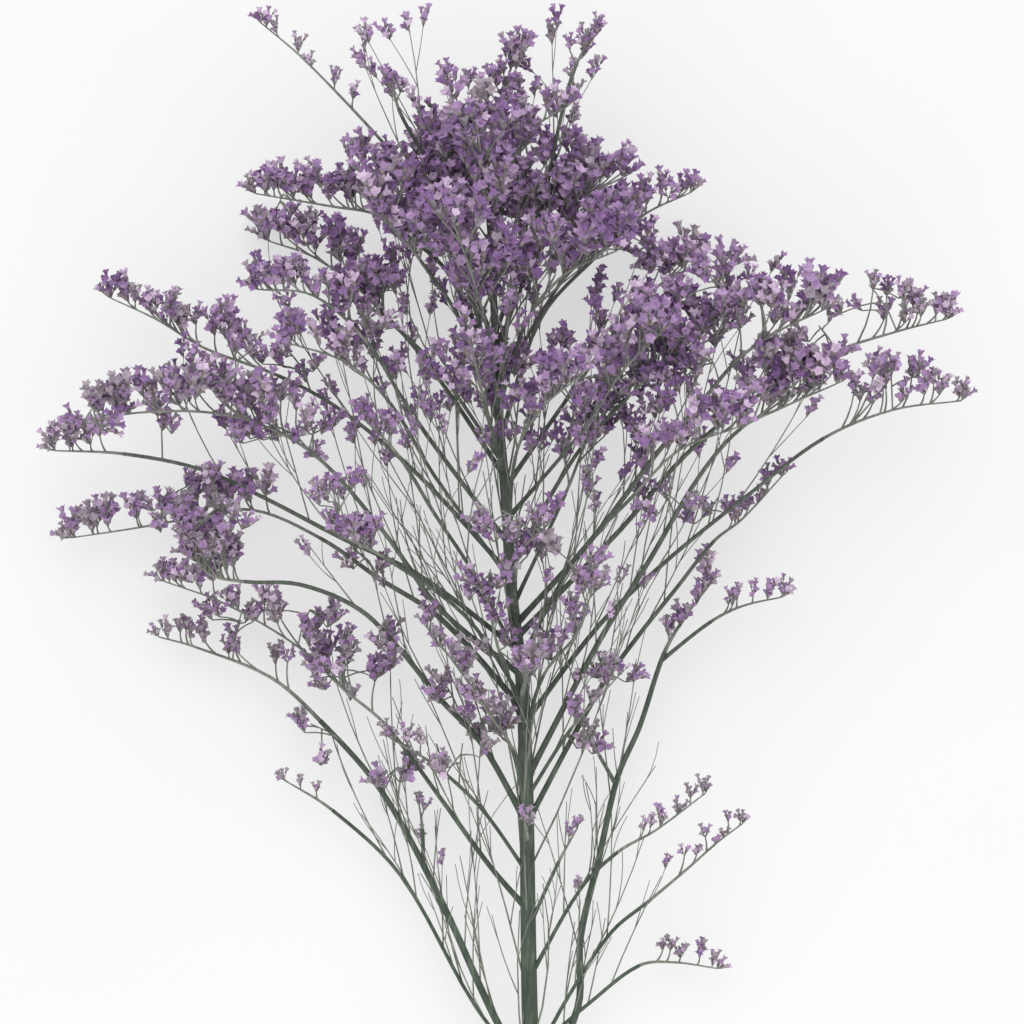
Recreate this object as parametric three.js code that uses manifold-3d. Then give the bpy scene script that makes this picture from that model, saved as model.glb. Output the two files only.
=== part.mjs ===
// A dried sea lavender stem lying on a surface: one woody stem with arching side branches, each ending
// in a spray of thin upright twigs tipped with tufts of small papery florets.
// Lengths are in millimetres. X runs across the spread, Y from the cut end to the top and Z up from the
// surface.
import * as THREE from "three";
import { mergeVertices } from "three/addons/utils/BufferGeometryUtils.js";
import Module from "manifold-3d";

const wasm = await Module();
wasm.setup();

const SEED = 7471;
const SEED_STEP = 101;

// Main stem: points up its length, from the cut end, seen from above.
const CUT_END_Y = -118;
const STEM_PLAN = [
  [5, CUT_END_Y], [4, -80], [2, -40], [0.6, 0], [0, 36], [-0.6, 75],
  [-2, 107], [-5, 132], [-7, 164], [-9, 187], [-10.5, 219], [-12, 247],
];
const STEM_BASE_RADIUS = 3.0;
const STEM_TOP_RADIUS = 0.9;
const STEM_TAPER_POWER = 0.8;
const STEM_SIDES = 8;
const CUT_END_HEIGHT = 2.6;
const STEM_SLOPE = 0.11;
const SLAB = 1000;

// Side branches: they thin towards the flowers, and those this thick or more get more sides.
const BRANCH_END_SHARE = 0.62;
const THICK_BRANCH_RADIUS = 0.85;
const THICK_BRANCH_SIDES = 5;
const MIDDLING_BRANCH_RADIUS = 0.74;
const MIDDLING_BRANCH_SIDES = 4;
const THIN_BRANCH_SIDES = 3;
const THINNEST_BRANCH_RADIUS = 0.6;
const BRANCH_ARCH = 1.35;
const HEIGHT_SHIFTS = [0, 3, -3, 6, -6, 9, -9, 12, -12, 15, -15];

// Sprays: the axis that carries on from a branch, and the twigs that stand on it.
const JOINT_GAP = 0.3;
const AXIS_SIDES = 3;
const AXIS_ROOT_RADIUS = 0.72;
const AXIS_TIP_RADIUS = 0.52;
const TWIG_ROOT_RADIUS = 0.3;
const TWIG_NECK_RADIUS = 0.45;
const FIRST_TWIG_SHARE = 0.12;
const TWIG_ROWS = [1, 0.5, 0.8, 0.3];
const PLACE_JITTER = 0.4;
const REACH_JITTER = 0.2;

// Which way twigs and tufts point: up the plant, forward along the axis and out from it.
const TWIG_UP = 0.9;
const TWIG_FORWARD = 0.35;
const TWIG_OUT = 0.5;
const TWIG_OUT_IF_UPRIGHT = 0.35;
const TUFT_UP = 0.8;
const TUFT_ALONG_TWIG = 0.75;

// Tufts: funnels of three pointed florets, one above the other. Rims and throats are shares of the length.
const FLORETS_PER_RING = 3;
const TUFT_LENGTH = 11;
const TUFT_RADIUS = 4.3;
const LENGTH_JITTER = 0.15;
const RADIUS_JITTER = 0.12;
const THROAT_WIDTH = 0.3;
const LARGE_TUFT = [
  { rim: 0.42, throat: 0.34, width: 1, turned: 0 },
  { rim: 0.8, width: 0.85, turned: 0.5 },
];
const SMALL_TUFT = [{ rim: 0.6, width: 1, turned: 0 }];
const SMALL_TUFT_SIZE = 0.7;
const TUFT_BODY = [0.42, 0.72];

// Room kept between pieces, and between everything but the three resting points and the surface.
const PIECE_ROOM = 0.35;
const TUFT_ROOM = -1.2;
const BRANCH_ROOM = 1.4;
const FLOOR_ROOM = 2.4;
const AXIS_FLOOR_ROOM = 4.4;
const ROOT_SKIP = 14;

// The turns and reaches tried for a twig, until its tuft has room.
const TWIG_TURN = 2.4;
const TURN_JITTER = 0.8;
const TURN_TRIES = 8;
const TURN_STEP = 0.8;
const REACH_TRIES = 3;
const REACH_STEP = 0.25;

// Edges shorter than this are closed up once the solids are joined.
const SLIVER = 0.01;

// The tuft a resting spray lies on.
const REST_TUFT_FROM_TIP = 0.6;
const REST_TWIG_REACH = 3;
const REST_TUFT_HEIGHT = 1.9;

// Side branches. "root" is where one leaves the main stem, as a distance up the stem, or "on" names the
// branch it leaves and how many points up that branch. "plan" is its run seen from above, "height" its
// tip above the surface, "radius" its thickness at the root and "bare" the point where flowers begin.
// "tufts" stand on twigs that shorten from reach[0] to reach[1], and "size" scales the florets.
const BRANCHES = [
  { name: "left_01", root: -25, height: 14, radius: 1.3, bare: 4, tufts: 9, reach: [15, 1], size: 0.65,
    plan: [[-12, 0], [-28, 35], [-47, 70], [-67, 93], [-83, 107], [-108, 117], [-119, 120]] },
  { name: "left_02", root: -22, height: 10, radius: 0.65, bare: 3, tufts: 3, reach: [3, 1], size: 0.4,
    plan: [[-17, 1], [-41, 43], [-63, 64], [-79, 74]] },
  { name: "left_03", root: 32, height: 24, radius: 0.95, bare: 3, tufts: 12, reach: [22, 1], size: 0.85,
    plan: [[-12, 46], [-28, 68], [-46, 92], [-59, 103], [-74, 117], [-98, 131], [-117, 138]] },
  { name: "left_04", root: 60, height: 42, radius: 1.0, bare: 6, tufts: 12, reach: [9, 5], size: 1.05,
    plan: [[-15, 86], [-28, 100], [-41, 116], [-54, 129], [-73, 137], [-91, 138], [-103, 141],
      [-108, 151]] },
  { name: "left_05", root: 97, height: 18, radius: 1.0, bare: 3, tufts: 13, reach: [9, 1], size: 0.9,
    plan: [[-28, 126], [-48, 139], [-67, 152], [-89, 161], [-110, 158], [-127, 155], [-147, 152]] },
  { name: "left_06", root: 108, height: 62, radius: 0.95, bare: 3, tufts: 16, reach: [13, 5], size: 1.0,
    plan: [[-28, 129], [-47, 155], [-70, 180], [-95, 191], [-124, 192], [-142, 188]] },
  { name: "left_07", root: 116, height: 30, radius: 0.85, bare: 5, tufts: 5, reach: [9, 1], size: 0.8,
    plan: [[-35, 140], [-60, 152], [-85, 165], [-105, 174], [-130, 179], [-152, 180]] },
  { name: "left_08", root: 150, height: 76, radius: 0.8, bare: 3, tufts: 12, reach: [15, 1], size: 0.9,
    plan: [[-31, 183], [-41, 198], [-51, 214], [-68, 229], [-86, 231]] },
  { name: "left_09", root: 140, height: 32, radius: 0.8, bare: 3, tufts: 11, reach: [13, 1], size: 0.85,
    plan: [[-35, 172], [-60, 193], [-80, 204], [-104, 213], [-119, 222], [-134, 229]] },
  { name: "left_10", root: 176, height: 56, radius: 0.65, bare: 2, tufts: 8, reach: [12, 7], size: 1.0,
    plan: [[-29, 206], [-43, 220], [-56, 229]] },
  { name: "left_11", root: 204, height: 52, radius: 0.8, bare: 3, tufts: 11, reach: [9, 2], size: 0.9,
    plan: [[-25, 236], [-35, 246], [-47, 255], [-63, 258], [-87, 262]] },
  { name: "left_12", root: 232, height: 66, radius: 0.65, bare: 2, tufts: 6, reach: [4, 1], size: 0.6,
    plan: [[-35, 265], [-46, 278], [-59, 292], [-73, 306], [-85, 316]] },
  { name: "left_13", root: 226, height: 86, radius: 0.6, bare: 3, tufts: 4, reach: [5, 3], size: 0.6,
    plan: [[-24, 260], [-35, 277], [-41, 288], [-43, 296]] },
  { name: "left_14", root: 188, height: 82, radius: 0.75, bare: 2, tufts: 12, reach: [9, 8], size: 1.1,
    plan: [[-22, 222], [-34, 240], [-46, 255]] },
  { name: "left_15", root: 198, height: 66, radius: 0.75, bare: 2, tufts: 12, reach: [15, 10], size: 1.1,
    plan: [[-18, 230], [-23, 253], [-27, 273]] },
  { name: "left_16", root: 172, height: 6.5, radius: 0.8, bare: 2, tufts: 9, reach: [14, 2],
    size: 0.95, rests: true, plan: [[-30, 205], [-50, 228], [-68, 242], [-84, 248]] },
  { name: "left_17", root: 60, height: 52, radius: 0.6, bare: 1, tufts: 9, reach: [4, 3], size: 0.8,
    plan: [[-5, 84], [-12, 95], [-22, 110], [-32, 123]] },
  { name: "left_18", root: 112, height: 74, radius: 0.65, bare: 3, tufts: 4, reach: [5, 4], size: 0.8,
    plan: [[-17, 140], [-30, 160], [-41, 178], [-52, 190]] },
  { name: "left_19", root: 100, height: 84, radius: 0.6, bare: 2, tufts: 5, reach: [5, 3], size: 0.8,
    plan: [[-20, 127], [-46, 146], [-60, 153]] },
  { name: "left_20", root: 44, height: 34, radius: 0.6, bare: 2, tufts: 3, reach: [4, 3], size: 0.6,
    plan: [[-15, 65], [-30, 79], [-43, 87]] },
  { name: "left_21", on: ["left_01", 2.3], height: 16, radius: 0.5, bare: 1, tufts: 2, reach: [3,
    2], size: 0.5, plan: [[-34, 58], [-35, 66]] },
  { name: "left_22", root: 204, height: 40, radius: 0.7, bare: 1, tufts: 8, reach: [14, 7], size: 1.05,
    plan: [[-20, 234], [-29, 260], [-33, 280]] },
  { name: "left_23", root: 214, height: 76, radius: 0.7, bare: 1, tufts: 9, reach: [9, 6], size: 1.0,
    plan: [[-22, 240], [-38, 257], [-52, 267]] },
  { name: "left_24", root: 138, height: 66, radius: 0.7, bare: 2, tufts: 10, reach: [14, 4], size: 1.0,
    plan: [[-30, 172], [-44, 195], [-58, 208], [-76, 214]] },
  { name: "centre_01", root: 236, height: 48, radius: 0.8, bare: 2, tufts: 8, reach: [8, 4], size: 0.85,
    plan: [[-12, 262], [-10, 280], [-8, 294], [-4, 306]] },
  { name: "centre_02", root: 214, height: 94, radius: 0.75, bare: 1, tufts: 14, reach: [17, 11],
    size: 1.15, plan: [[-12, 243], [-14, 264], [-16, 282]] },
  { name: "centre_03", root: 206, height: 22, radius: 0.75, bare: 1, tufts: 10, reach: [15, 10],
    size: 1.1, plan: [[-4, 236], [-2, 258], [-4, 276]] },
  { name: "centre_04", root: 190, height: 100, radius: 0.75, bare: 1, tufts: 13, reach: [20, 10],
    size: 1.15, plan: [[-13, 218], [-18, 236], [-23, 250]] },
  { name: "centre_05", root: 172, height: 88, radius: 0.6, bare: 1, tufts: 5, reach: [6, 5], size: 0.9,
    plan: [[-14, 196], [-18, 213]] },
  { name: "centre_06", root: 122, height: 66, radius: 0.55, bare: 1, tufts: 7, reach: [6, 4], size: 0.8,
    plan: [[-4, 138], [-2, 148], [6, 156]] },
  { name: "centre_07", root: 96, height: 58, radius: 0.55, bare: 1, tufts: 3, reach: [4, 4], size: 0.75,
    plan: [[-9, 115], [-13, 132]] },
  { name: "centre_08", root: 88, height: 62, radius: 0.6, bare: 1, tufts: 6, reach: [4, 4], size: 0.8,
    plan: [[5, 108], [16, 122], [20, 134]] },
  { name: "centre_09", root: 44, height: 38, radius: 0.5, bare: 1, tufts: 2, reach: [3, 3], size: 0.6,
    plan: [[0, 55], [-1, 61]] },
  { name: "centre_10", root: 150, height: 88, radius: 0.75, bare: 1, tufts: 12, reach: [12, 6], size: 1.0,
    plan: [[-4, 178], [4, 193], [16, 203]] },
  { name: "centre_11", root: 228, height: 70, radius: 0.65, bare: 1, tufts: 7, reach: [7, 4], size: 0.85,
    plan: [[-7, 264], [0, 281], [12, 289]] },
  { name: "centre_12", root: 90, height: 70, radius: 0.5, bare: 1, tufts: 3, reach: [4, 4], size: 0.85,
    plan: [[-2, 102], [0, 109]] },
  { name: "right_01", root: -14, height: 11, radius: 0.65, bare: 2, tufts: 4, reach: [8, 1], size: 0.55,
    plan: [[20, 2], [36, 14], [47, 15], [61, 13]] },
  { name: "right_02", root: -18, height: 24, radius: 0.7, bare: 3, tufts: 6, reach: [9, 3], size: 0.35,
    plan: [[13, 4], [27, 25], [39, 35], [52, 46], [61, 54], [69, 60]] },
  { name: "right_03", root: -30, height: 18, radius: 1.25, bare: 6, tufts: 5, reach: [4, 3], size: 0.85,
    plan: [[16, 0], [17, 23], [23, 49], [29, 75], [36, 91], [44, 115], [51, 127], [58, 136]] },
  { name: "right_04", on: ["right_03", 5.9], height: 24, radius: 0.6, bare: 1, tufts: 5, reach: [4,
    1], size: 0.65, plan: [[59, 125], [69, 130], [82, 133]] },
  { name: "right_05", on: ["right_03", 3.9], height: 30, radius: 0.5, bare: 1, tufts: 2, reach: [3,
    3], size: 0.6, plan: [[23, 82], [18, 91]] },
  { name: "right_06", root: 10, height: 32, radius: 0.7, bare: 2, tufts: 6, reach: [5, 2], size: 0.5,
    plan: [[17, 39], [29, 51], [41, 58], [57, 70]] },
  { name: "right_07", root: 60, height: 20, radius: 0.9, bare: 4, tufts: 6, reach: [5, 1], size: 0.65,
    plan: [[23, 103], [36, 121], [48, 136], [60, 151], [69, 158], [82, 172]] },
  { name: "right_08", root: 74, height: 66, radius: 1.0, bare: 4, tufts: 13, reach: [22, 6], size: 1.0,
    plan: [[23, 119], [39, 145], [55, 172], [68, 187], [82, 194], [98, 201]] },
  { name: "right_09", root: 92, height: 36, radius: 0.85, bare: 4, tufts: 9, reach: [22, 1], size: 0.75,
    plan: [[23, 124], [45, 145], [71, 166], [95, 184], [117, 193], [139, 196]] },
  { name: "right_10", root: 124, height: 80, radius: 0.95, bare: 4, tufts: 12, reach: [18, 7], size: 1.0,
    plan: [[20, 151], [42, 180], [55, 195], [67, 209], [80, 218], [93, 224]] },
  { name: "right_11", root: 120, height: 50, radius: 0.9, bare: 4, tufts: 9, reach: [22, 1], size: 0.7,
    plan: [[30, 155], [50, 178], [70, 195], [97, 211], [118, 218], [134, 222]] },
  { name: "right_12", root: 158, height: 92, radius: 0.75, bare: 1, tufts: 11, reach: [14, 9], size: 1.0,
    plan: [[18, 187], [30, 205], [42, 217]] },
  { name: "right_13", root: 184, height: 72, radius: 0.75, bare: 2, tufts: 8, reach: [12, 2], size: 0.8,
    plan: [[4, 222], [22, 242], [37, 255], [52, 262]] },
  { name: "right_14", root: 218, height: 60, radius: 0.7, bare: 3, tufts: 5, reach: [5, 2], size: 0.6,
    plan: [[4, 256], [10, 284], [15, 302], [22, 315]] },
  { name: "right_15", root: 194, height: 86, radius: 0.75, bare: 1, tufts: 12, reach: [20, 8], size: 1.15,
    plan: [[0, 222], [12, 236], [28, 243]] },
  { name: "right_16", root: 212, height: 54, radius: 0.75, bare: 1, tufts: 12, reach: [14, 8], size: 1.15,
    plan: [[3, 243], [15, 259], [30, 267]] },
  { name: "right_17", root: 68, height: 50, radius: 0.5, bare: 1, tufts: 3, reach: [4, 4], size: 0.7,
    plan: [[14, 91], [29, 108]] },
  { name: "right_18", root: 112, height: 98, radius: 0.75, bare: 2, tufts: 10, reach: [12, 7], size: 0.95,
    plan: [[15, 145], [34, 166], [48, 180], [66, 187]] },
  { name: "right_19", root: 142, height: 64, radius: 0.8, bare: 2, tufts: 12, reach: [22, 10], size: 1.1,
    plan: [[15, 178], [32, 197], [46, 209], [62, 217]] },
  { name: "right_20", root: 168, height: 6.5, radius: 0.8, bare: 2, tufts: 9, reach: [13, 4],
    size: 1.0, rests: true, plan: [[15, 200], [32, 223], [48, 237], [66, 240]] },
  { name: "right_21", root: 200, height: 30, radius: 0.7, bare: 1, tufts: 11, reach: [19, 8], size: 1.1,
    plan: [[8, 230], [20, 245], [32, 253]] },
  { name: "right_22", root: 26, height: 32, radius: 0.5, bare: 1, tufts: 2, reach: [3, 3], size: 0.45,
    plan: [[10, 48], [16, 59]] },
  { name: "right_23", root: 130, height: 46, radius: 0.7, bare: 1, tufts: 9, reach: [12, 7], size: 1.0,
    plan: [[12, 166], [22, 189], [36, 203]] },
];

// Vectors are arrays of three lengths.
const plus = (a, b, scale = 1) => [a[0] + b[0] * scale, a[1] + b[1] * scale, a[2] + b[2] * scale];
const minus = (a, b) => [a[0] - b[0], a[1] - b[1], a[2] - b[2]];
const dot = (a, b) => a[0] * b[0] + a[1] * b[1] + a[2] * b[2];
const cross = (a, b) => [a[1] * b[2] - a[2] * b[1], a[2] * b[0] - a[0] * b[2], a[0] * b[1] - a[1] * b[0]];
const unit = (a) => plus([0, 0, 0], a, 1 / Math.sqrt(dot(a, a)));
const between = (a, b, share) => a + (b - a) * share;
const vary = (most, random) => 1 + most * (2 * random - 1);
const pointBetween = (a, b, share) => plus(a, minus(b, a), share);
const limit = (value) => Math.min(1, Math.max(0, value));

// A repeatable stream of numbers from 0 to 1.
function randomStream(seed) {
  let state = seed;
  return () => {
    state = (state + 0x6d2b79f5) | 0;
    let mixed = Math.imul(state ^ (state >>> 15), 1 | state);
    mixed = (mixed + Math.imul(mixed ^ (mixed >>> 7), 61 | mixed)) ^ mixed;
    return ((mixed ^ (mixed >>> 14)) >>> 0) / 4294967296;
  };
}

// Two directions square to a run, the first as near to straight up as it can be.
function crossDirections(ahead) {
  const steep = 0.9;
  const upright = Math.abs(ahead[2]) > steep ? [1, 0, 0] : [0, 0, 1];
  const first = unit(plus(upright, ahead, -dot(upright, ahead)));
  return [first, cross(ahead, first)];
}

// The point a number of steps along a run of points, part steps included.
function along(points, steps) {
  const before = Math.min(points.length - 2, Math.floor(steps));
  return pointBetween(points[before], points[before + 1], steps - before);
}

function aheadAt(points, steps) {
  const before = Math.min(points.length - 2, Math.floor(steps));
  return unit(minus(points[before + 1], points[before]));
}

function stemHeight(y) {
  return CUT_END_HEIGHT + (y - CUT_END_Y) * STEM_SLOPE;
}

function stemPoints() {
  return STEM_PLAN.map(([x, y]) => [x, y, stemHeight(y)]);
}

function stemPointAt(y) {
  const after = STEM_PLAN.findIndex((point) => point[1] >= y);
  const [low, high] = [STEM_PLAN[after - 1], STEM_PLAN[after]];
  return [between(low[0], high[0], (y - low[1]) / (high[1] - low[1])), y, stemHeight(y)];
}

function stemRadius(share) {
  return between(STEM_TOP_RADIUS, STEM_BASE_RADIUS, (1 - share) ** STEM_TAPER_POWER);
}

// The nearest approach of two straight runs, each given by its two ends.
function runDistance(a0, a1, b0, b1) {
  const a = minus(a1, a0);
  const b = minus(b1, b0);
  const apart = minus(a0, b0);
  const aa = dot(a, a);
  const bb = dot(b, b);
  const ab = dot(a, b);
  const aApart = dot(a, apart);
  const bApart = dot(b, apart);
  const spread = aa * bb - ab * ab;
  const parallel = 1e-9;
  let onA = spread > parallel ? limit((ab * bApart - aApart * bb) / spread) : 0;
  let onB = (ab * onA + bApart) / bb;
  if (onB < 0 || onB > 1) {
    onB = limit(onB);
    onA = limit((ab * onB - aApart) / aa);
  }
  const gap = minus(plus(a0, a, onA), plus(b0, b, onB));
  return Math.sqrt(dot(gap, gap));
}

// A rounded rod that stands for part of a piece when room is being kept.
function rod(owner, kind, start, end, radius) {
  const middle = pointBetween(start, end, 0.5);
  const half = minus(end, middle);
  return { owner, kind, start, end, radius, middle, span: Math.sqrt(dot(half, half)) + radius };
}

function hasRoom(trial, other, room) {
  const apart = minus(trial.middle, other.middle);
  const most = trial.span + other.span + room;
  if (dot(apart, apart) > most * most) return true;
  return runDistance(trial.start, trial.end, other.start, other.end) >= trial.radius + other.radius + room;
}

// The points of a branch in space, its height easing from the root's to the tip's.
function branchPoints(rootPoint, plan, height) {
  const climb = (share) => share * (BRANCH_ARCH - (BRANCH_ARCH - 1) * share);
  const heightAt = (share) => between(rootPoint[2], height, climb(share));
  return [rootPoint, ...plan.map(([x, y], index) => [x, y, heightAt((index + 1) / plan.length)])];
}

function runRods(owner, kind, points, radius) {
  return points.slice(1).map((end, index) => rod(owner, kind, points[index], end, radius));
}

// The straight lengths of a run past the part that still lies against its parent.
function tailRods(branch, points) {
  const start = plus(points[0], aheadAt(points, 0), ROOT_SKIP);
  return runRods(branch.name, "run", [start, ...points.slice(1)], branch.radius);
}

// A branch is raised or lowered a little until it runs clear of those laid before it.
function layBranches() {
  const laid = [];
  for (const branch of BRANCHES) {
    const parent = branch.on ? laid.find((other) => other.name === branch.on[0]) : null;
    const rootPoint = parent ? along(parent.points, branch.on[1]) : stemPointAt(branch.root);
    const others = laid.filter((other) => other !== parent).flatMap((other) => other.rods);
    const isClear = (points) => {
      const tail = tailRods(branch, points);
      if (Math.min(...tail.map((run) => run.end[2])) <= AXIS_FLOOR_ROOM) return false;
      return tail.every((run) => others.every((other) => hasRoom(run, other, BRANCH_ROOM)));
    };
    const heights = branch.rests ? [branch.height] : HEIGHT_SHIFTS.map((shift) => branch.height + shift);
    const trials = heights.map((height) => branchPoints(rootPoint, branch.plan, height));
    const points = trials.find(isClear) ?? trials[0];
    laid.push({ ...branch, points, rods: tailRods(branch, points) });
  }
  return laid;
}

// One try at a tuft: where its twig leaves the axis, where the florets begin and where they end.
function tuftTrial(branch, steps, reach, turn, size) {
  const root = along(branch.points, steps);
  const ahead = aheadAt(branch.points, steps);
  const [first, second] = crossDirections(ahead);
  const sideways = plus(plus([0, 0, 0], first, Math.cos(turn)), second, Math.sin(turn));
  const lean = TWIG_OUT + TWIG_OUT_IF_UPRIGHT * Math.abs(ahead[1]);
  const twigWay = unit(plus(plus([0, TWIG_UP, 0], ahead, TWIG_FORWARD), sideways, lean));
  const tuftWay = unit(plus([0, TUFT_UP, 0], twigWay, TUFT_ALONG_TWIG));
  const end = plus(root, twigWay, reach);
  return { steps, root, end, tip: plus(end, tuftWay, size.length), radius: size.radius, turned: size.turned };
}

function tuftRods(owner, tuft) {
  const [low, high] = TUFT_BODY.map((share) => pointBetween(tuft.end, tuft.tip, share));
  return [
    rod(owner, "twig", tuft.root, tuft.end, TWIG_NECK_RADIUS),
    rod(owner, "tuft", low, high, tuft.radius),
  ];
}

function lowestOf(run) {
  return Math.min(run.start[2], run.end[2]) - run.radius;
}

function tuftFits(branch, rods, taken) {
  const [twig, florets] = rods;
  if (lowestOf(twig) < FLOOR_ROOM || lowestOf(florets) < FLOOR_ROOM) return false;
  return taken.every((other) => {
    if (other.owner !== branch.name) return rods.every((run) => hasRoom(run, other, PIECE_ROOM));
    return other.kind !== "tuft" || hasRoom(florets, other, TUFT_ROOM);
  });
}

// The tuft that a resting spray lies on: it hangs below the axis and lies level on the surface.
function restingTuft(branch) {
  const steps = branch.points.length - 1 - REST_TUFT_FROM_TIP;
  const root = along(branch.points, steps);
  const end = [root[0], root[1] + REST_TWIG_REACH, REST_TUFT_HEIGHT];
  const tip = [end[0], end[1] + TUFT_LENGTH, REST_TUFT_HEIGHT];
  return { steps, root, end, tip, radius: TUFT_RADIUS, turned: 0 };
}

// The tufts of one spray. Each takes the first turn round the axis that keeps its room.
function growTufts(branch, seed, taken) {
  const next = randomStream(seed);
  const tufts = [];
  const keep = (tuft) => {
    tufts.push(tuft);
    taken.push(...tuftRods(branch.name, tuft));
  };
  if (branch.rests) keep(restingTuft(branch));
  const last = branch.points.length - 1;
  for (let index = 0; index < branch.tufts; index += 1) {
    const place = (index + 1 - PLACE_JITTER * next()) / branch.tufts;
    const share = between(FIRST_TWIG_SHARE, 1, place);
    const steps = between(branch.bare, last, share);
    const row = TWIG_ROWS[index % TWIG_ROWS.length];
    const reach = between(branch.reach[0], branch.reach[1], share) * row * vary(REACH_JITTER, next());
    const size = {
      length: TUFT_LENGTH * branch.size * vary(LENGTH_JITTER, next()),
      radius: TUFT_RADIUS * branch.size * vary(RADIUS_JITTER, next()),
      turned: next(),
    };
    const turn = index * TWIG_TURN + next() * TURN_JITTER;
    for (let attempt = 0; attempt < TURN_TRIES * REACH_TRIES; attempt += 1) {
      const shorter = 1 - REACH_STEP * Math.floor(attempt / TURN_TRIES);
      const tuft = tuftTrial(branch, steps, reach * shorter, turn + attempt * TURN_STEP, size);
      if (!tuftFits(branch, tuftRods(branch.name, tuft), taken)) continue;
      keep(tuft);
      break;
    }
  }
  return tufts;
}

// The axis of a spray, from just past the end of its bare branch.
function axisPoints(branch) {
  const points = branch.points.slice(branch.bare);
  return [plus(points[0], aheadAt(points, 0), JOINT_GAP), ...points.slice(1)];
}

function branchRadius(branch, index) {
  return Math.max(THINNEST_BRANCH_RADIUS, branch.radius * between(1, BRANCH_END_SHARE, index / branch.bare));
}

function growPlant() {
  const branches = layBranches();
  const stem = stemPoints();
  const taken = stem.slice(1).map((end, index) => {
    return rod("stem", "run", stem[index], end, stemRadius(index / (stem.length - 1)));
  });
  for (const branch of branches) {
    const bare = branch.points.slice(0, branch.bare + 1);
    taken.push(...runRods("stem", "run", bare, branch.radius));
    taken.push(...runRods(branch.name, "axis", axisPoints(branch), AXIS_ROOT_RADIUS));
  }
  const sprays = branches.map((branch, index) => {
    return { ...branch, tufts: growTufts(branch, SEED + index * SEED_STEP, taken) };
  });
  return { stem, sprays };
}

// A ring of points round a place on a run, turned by a share of one side.
function ring(centre, ahead, radius, sides, turned = 0) {
  const [first, second] = crossDirections(ahead);
  return Array.from({ length: sides }, (_, index) => {
    const angle = ((index + turned) / sides) * Math.PI * 2;
    return plus(plus(centre, first, Math.cos(angle) * radius), second, Math.sin(angle) * radius);
  });
}

// A closed skin over rings of equal count, ending flat or in a point.
function skin(rings, tip = null) {
  const sides = rings[0].length;
  const points = rings.flat();
  const faces = [];
  const corner = (level, side) => level * sides + (side % sides);
  for (let side = 1; side < sides - 1; side += 1) faces.push([0, side + 1, side]);
  for (let level = 0; level < rings.length - 1; level += 1) {
    for (let side = 0; side < sides; side += 1) {
      faces.push([corner(level, side), corner(level, side + 1), corner(level + 1, side)]);
      faces.push([corner(level, side + 1), corner(level + 1, side + 1), corner(level + 1, side)]);
    }
  }
  const top = rings.length - 1;
  if (tip) {
    points.push(tip);
    for (let side = 0; side < sides; side += 1) {
      faces.push([corner(top, side), corner(top, side + 1), points.length - 1]);
    }
  } else {
    for (let side = 1; side < sides - 1; side += 1) {
      faces.push([corner(top, 0), corner(top, side), corner(top, side + 1)]);
    }
  }
  return solidFrom(points, faces);
}

function solidFrom(points, faces) {
  const vertProperties = new Float32Array(points.flat());
  const triVerts = new Uint32Array(faces.flat());
  return new wasm.Manifold(new wasm.Mesh({ numProp: 3, vertProperties, triVerts }));
}

function tube(points, radiusAt, sides) {
  const rings = points.map((point, index) => {
    const back = points[Math.max(0, index - 1)];
    const front = points[Math.min(points.length - 1, index + 1)];
    return ring(point, unit(minus(front, back)), radiusAt(index), sides);
  });
  return skin(rings);
}

// A twig with its tuft: funnels of three pointed florets one above the other, each turned from the last,
// and a floret at the point.
function tuftSolid(tuft, funnels) {
  const twigWay = unit(minus(tuft.end, tuft.root));
  const tuftWay = unit(minus(tuft.tip, tuft.end));
  const ringAt = (share, radius, turned) => {
    return ring(pointBetween(tuft.end, tuft.tip, share), tuftWay, radius, FLORETS_PER_RING, turned);
  };
  const skins = [
    ring(tuft.root, twigWay, TWIG_ROOT_RADIUS, FLORETS_PER_RING),
    ring(tuft.end, twigWay, TWIG_NECK_RADIUS, FLORETS_PER_RING),
  ];
  for (const { rim, throat, width, turned } of funnels) {
    skins.push(ringAt(rim, tuft.radius * width, turned + tuft.turned));
    if (throat) skins.push(ringAt(throat, tuft.radius * THROAT_WIDTH, turned + tuft.turned));
  }
  return skin(skins, tuft.tip);
}

function joinAll(solids) {
  return solids.reduce((whole, solid) => whole.add(solid));
}

// The one outer body of a joined solid, without any pocket closed off inside it.
function outerBody(solid) {
  return solid.decompose().reduce((largest, body) => (body.volume() > largest.volume() ? body : largest));
}

// Everything below the surface.
function floorSlab() {
  const slab = new THREE.BoxGeometry(SLAB, SLAB, SLAB);
  slab.translate(0, 0, -SLAB / 2);
  return manifoldFrom(slab);
}

// A three.js geometry as a solid to join or cut with.
function manifoldFrom(geometry) {
  const bare = geometry.clone().deleteAttribute("normal").deleteAttribute("uv");
  const merged = mergeVertices(bare);
  return new wasm.Manifold(new wasm.Mesh({
    numProp: 3,
    vertProperties: new Float32Array(merged.attributes.position.array),
    triVerts: new Uint32Array(merged.index.array),
  }));
}

function branchSides(branch) {
  if (branch.radius >= THICK_BRANCH_RADIUS) return THICK_BRANCH_SIDES;
  return branch.radius >= MIDDLING_BRANCH_RADIUS ? MIDDLING_BRANCH_SIDES : THIN_BRANCH_SIDES;
}

function stemSolid(plant) {
  const last = plant.stem.length - 1;
  const main = tube(plant.stem, (index) => stemRadius(index / last), STEM_SIDES);
  const branches = plant.sprays.map((branch) => {
    const radiusAt = (index) => branchRadius(branch, index);
    return tube(branch.points.slice(0, branch.bare + 1), radiusAt, branchSides(branch));
  });
  return joinAll([main, ...branches]).subtract(floorSlab());
}

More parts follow.
